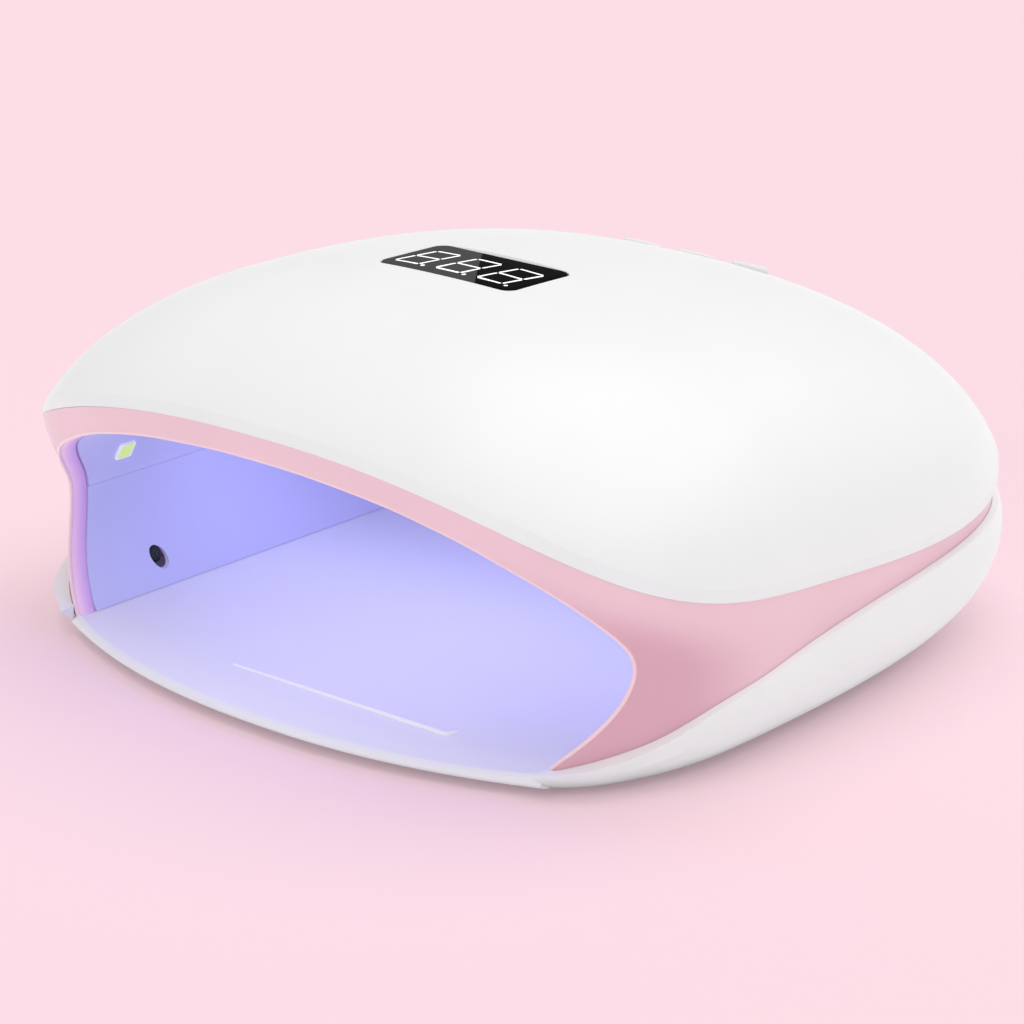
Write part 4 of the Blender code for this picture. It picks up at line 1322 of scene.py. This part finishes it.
def tub():
    """Winged tub: rounded ledge edge, belly, floor flange and the channel for the plate."""
    made = hoop("winged_tub", around([tub_profile(turn) for turn in angles()]))
    side = PLATE_HALF + GAP
    cutters = [box("front_cut", (-side, -140, -10), (side, -60, 60))]
    cutters.append(box("channel_cut", (-side - 0.1, -62, 2.7), (side + 0.1, PLATE_REAR_Y + 2 * GAP, 5.4)))
    cutters.append(inlet_bore())
    hole = ((0, -1), (3.3, -1), (3.3, 1.3), (2.9, 1.8), (2.9, 3.0), (1.6, 3.0), (1.6, 8), (0, 8))
    for x, y in screw_places():
        cutters.append(turned("screw_cut", hole, 32, placed(x, y, 0)))
    fitted(cut(made, cutters), "shell", "bottom_shell")


def screw_places():
    middles = [middle_of(f"case_screw_{number}") for number in range(1, 5)]
    return [(middle.x, middle.y) for middle in middles]


def plate():
    """Slide-out floor with a bowed nose: a top chamfer, a front face and a thin sheet behind."""
    stations = []
    for k in range(PLATE_STEPS + 1):
        x = -PLATE_HALF + 2 * PLATE_HALF * k / PLATE_STEPS
        bow = abs(x / PLATE_HALF) ** NOSE_POWER
        nose = NOSE_Y + NOSE_SAG * bow
        crest = PLATE_TOP_Z + (0.1 if abs(x) > 76.2 else 0.3 + 1.0 * bow**3)
        profile = [
            (PLATE_REAR_Y, PLATE_UNDER_Z),
            (nose + 10.0, PLATE_UNDER_Z),
            (nose + 9.0, 2.0),
            (nose + 2.6, 1.9),
            (nose + 0.9, 2.4),
            (nose, 3.3),
            (nose + 0.25, crest - 0.75),
            (nose + 1.9, crest),
            (nose + 6.5, PLATE_TOP_Z),
            (PLATE_REAR_Y, PLATE_TOP_Z),
        ]
        rounded = filleted(profile, {1: 0.3, 2: 0.5, 3: 0.5, 4: 0.35, 5: 0.35, 6: 0.25, 7: 0.3, 8: 2.0})
        stations.append([(x, p.x, p.y) for p in rounded])
    fitted(bar("sliding_plate", stations), "plate", "base_plate", "base_plate", 25)
    fitted(ridge("plate_rib", RIB), "rib", None, "base_plate", 50)


def ridge(name, path):
    """A low rounded rib along a plan path on the plate."""
    stations = []
    line = [Vector(p) for p in path]
    for k, point in enumerate(line):
        along = heading(line, k).normalized()
        side = Vector((-along.y, along.x))
        end = 0.25 if k in (0, len(line) - 1) else 1.0
        ring = []
        for across, rise in RIB_SECTION:
            place = point + side * across
            ring.append((place.x, place.y, PLATE_TOP_Z + (rise * end if rise > 0 else rise)))
        stations.append(ring)
    return bar(name, stations)


# ---- fittings


def feet():
    """Rubber pads with a rounded edge and a moulded ring."""
    profile = [(0, 0.15), (2.3, 0.15), (2.5, 0), (3.7, 0), (4.1, 0.12)]
    profile += [(4.3, 0.4), (4.4, 0.9), (4.4, 1.2), (0, 1.2)]
    for number in range(1, 7):
        middle = middle_of(f"foot_{number}")
        pad = turned(f"pad_{number}", profile, 48, placed(middle.x, middle.y, 0))
        fitted(pad, "rubber", f"foot_{number}", sharp=40)


def screws():
    """Pan heads with a cross recess."""
    profile = ((0, 1.75), (1.2, 1.75), (2.1, 1.95), (2.5, 2.3), (2.5, 2.6), (1.2, 2.6), (1.2, 6.6), (0, 6.6))
    for number, (x, y) in enumerate(screw_places(), 1):
        head = turned(f"screw_{number}", profile, 32, placed(x, y, 0))
        cross = []
        for w, d in ((1.5, 0.32), (0.32, 1.5)):
            cross.append(box("slot", (x - w, y - d, 0.5), (x + w, y + d, 2.25)))
        fitted(cut(head, cross), "steel", f"case_screw_{number}")


def inlet():
    """Round supply socket: a chamfered collar, a deep bore and a centre pin."""
    low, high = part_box("dc_inlet")
    middle = middle_of("dc_inlet")
    depth = (high.y - low.y) / MM
    profile = [(0, depth), (4.6, depth), (5.0, depth - 0.4), (5.0, 0.35), (4.65, 0.0)]
    profile += [(3.3, 0.0), (2.9, 0.4), (2.9, 9.0), (0, 9.0)]
    place = placed(middle.x, high.y / MM, middle.z, pi / 2)
    socket = turned("supply_socket", profile, 48, place)
    fitted(socket, "black", "dc_inlet", sharp=35)
    tip = ((0, 9.2), (1.0, 9.2), (1.0, 1.5), (0.8, 1.1), (0.4, 0.9), (0, 0.9))
    pin = turned("supply_pin", tip, 24, place)
    fitted(pin, "brass", sharp=35)


# The first of these that a node's name starts with gives its look.
NODE_LOOKS = {
    "middle_frame": "pink",
    "inner_bezel": "pink",
    "side_liner": "liner",
    "ceiling_reflector": "liner",
    "base_plate": "plate",
    "display_module": "black",
    "dc_inlet": "black",
    "sensor_": "black",
    "switch_": "black",
    "button_board": "green",
    "main_board": "green",
    "button_": "button",
    "led_board": "board",
    "led_": "package",
    "foot_": "rubber",
    "case_screw": "steel",
    "": "shell",
}


def node_looks():
    for name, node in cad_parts.items():
        look = next(NODE_LOOKS[start] for start in NODE_LOOKS if name.startswith(start))
        node.data.materials.clear()
        node.data.materials.append(LOOKS[look])


node_looks()
for build in (camera, studio, glow, dome, display, buttons, waist_frame, mouth_bead, mouth_return):
    build()
for build in (chamber_ceiling, chamber_wall, lamps, tub, plate, feet, screws, inlet, sensors):
    build()
bpy.context.scene.view_settings.view_transform = "Standard"
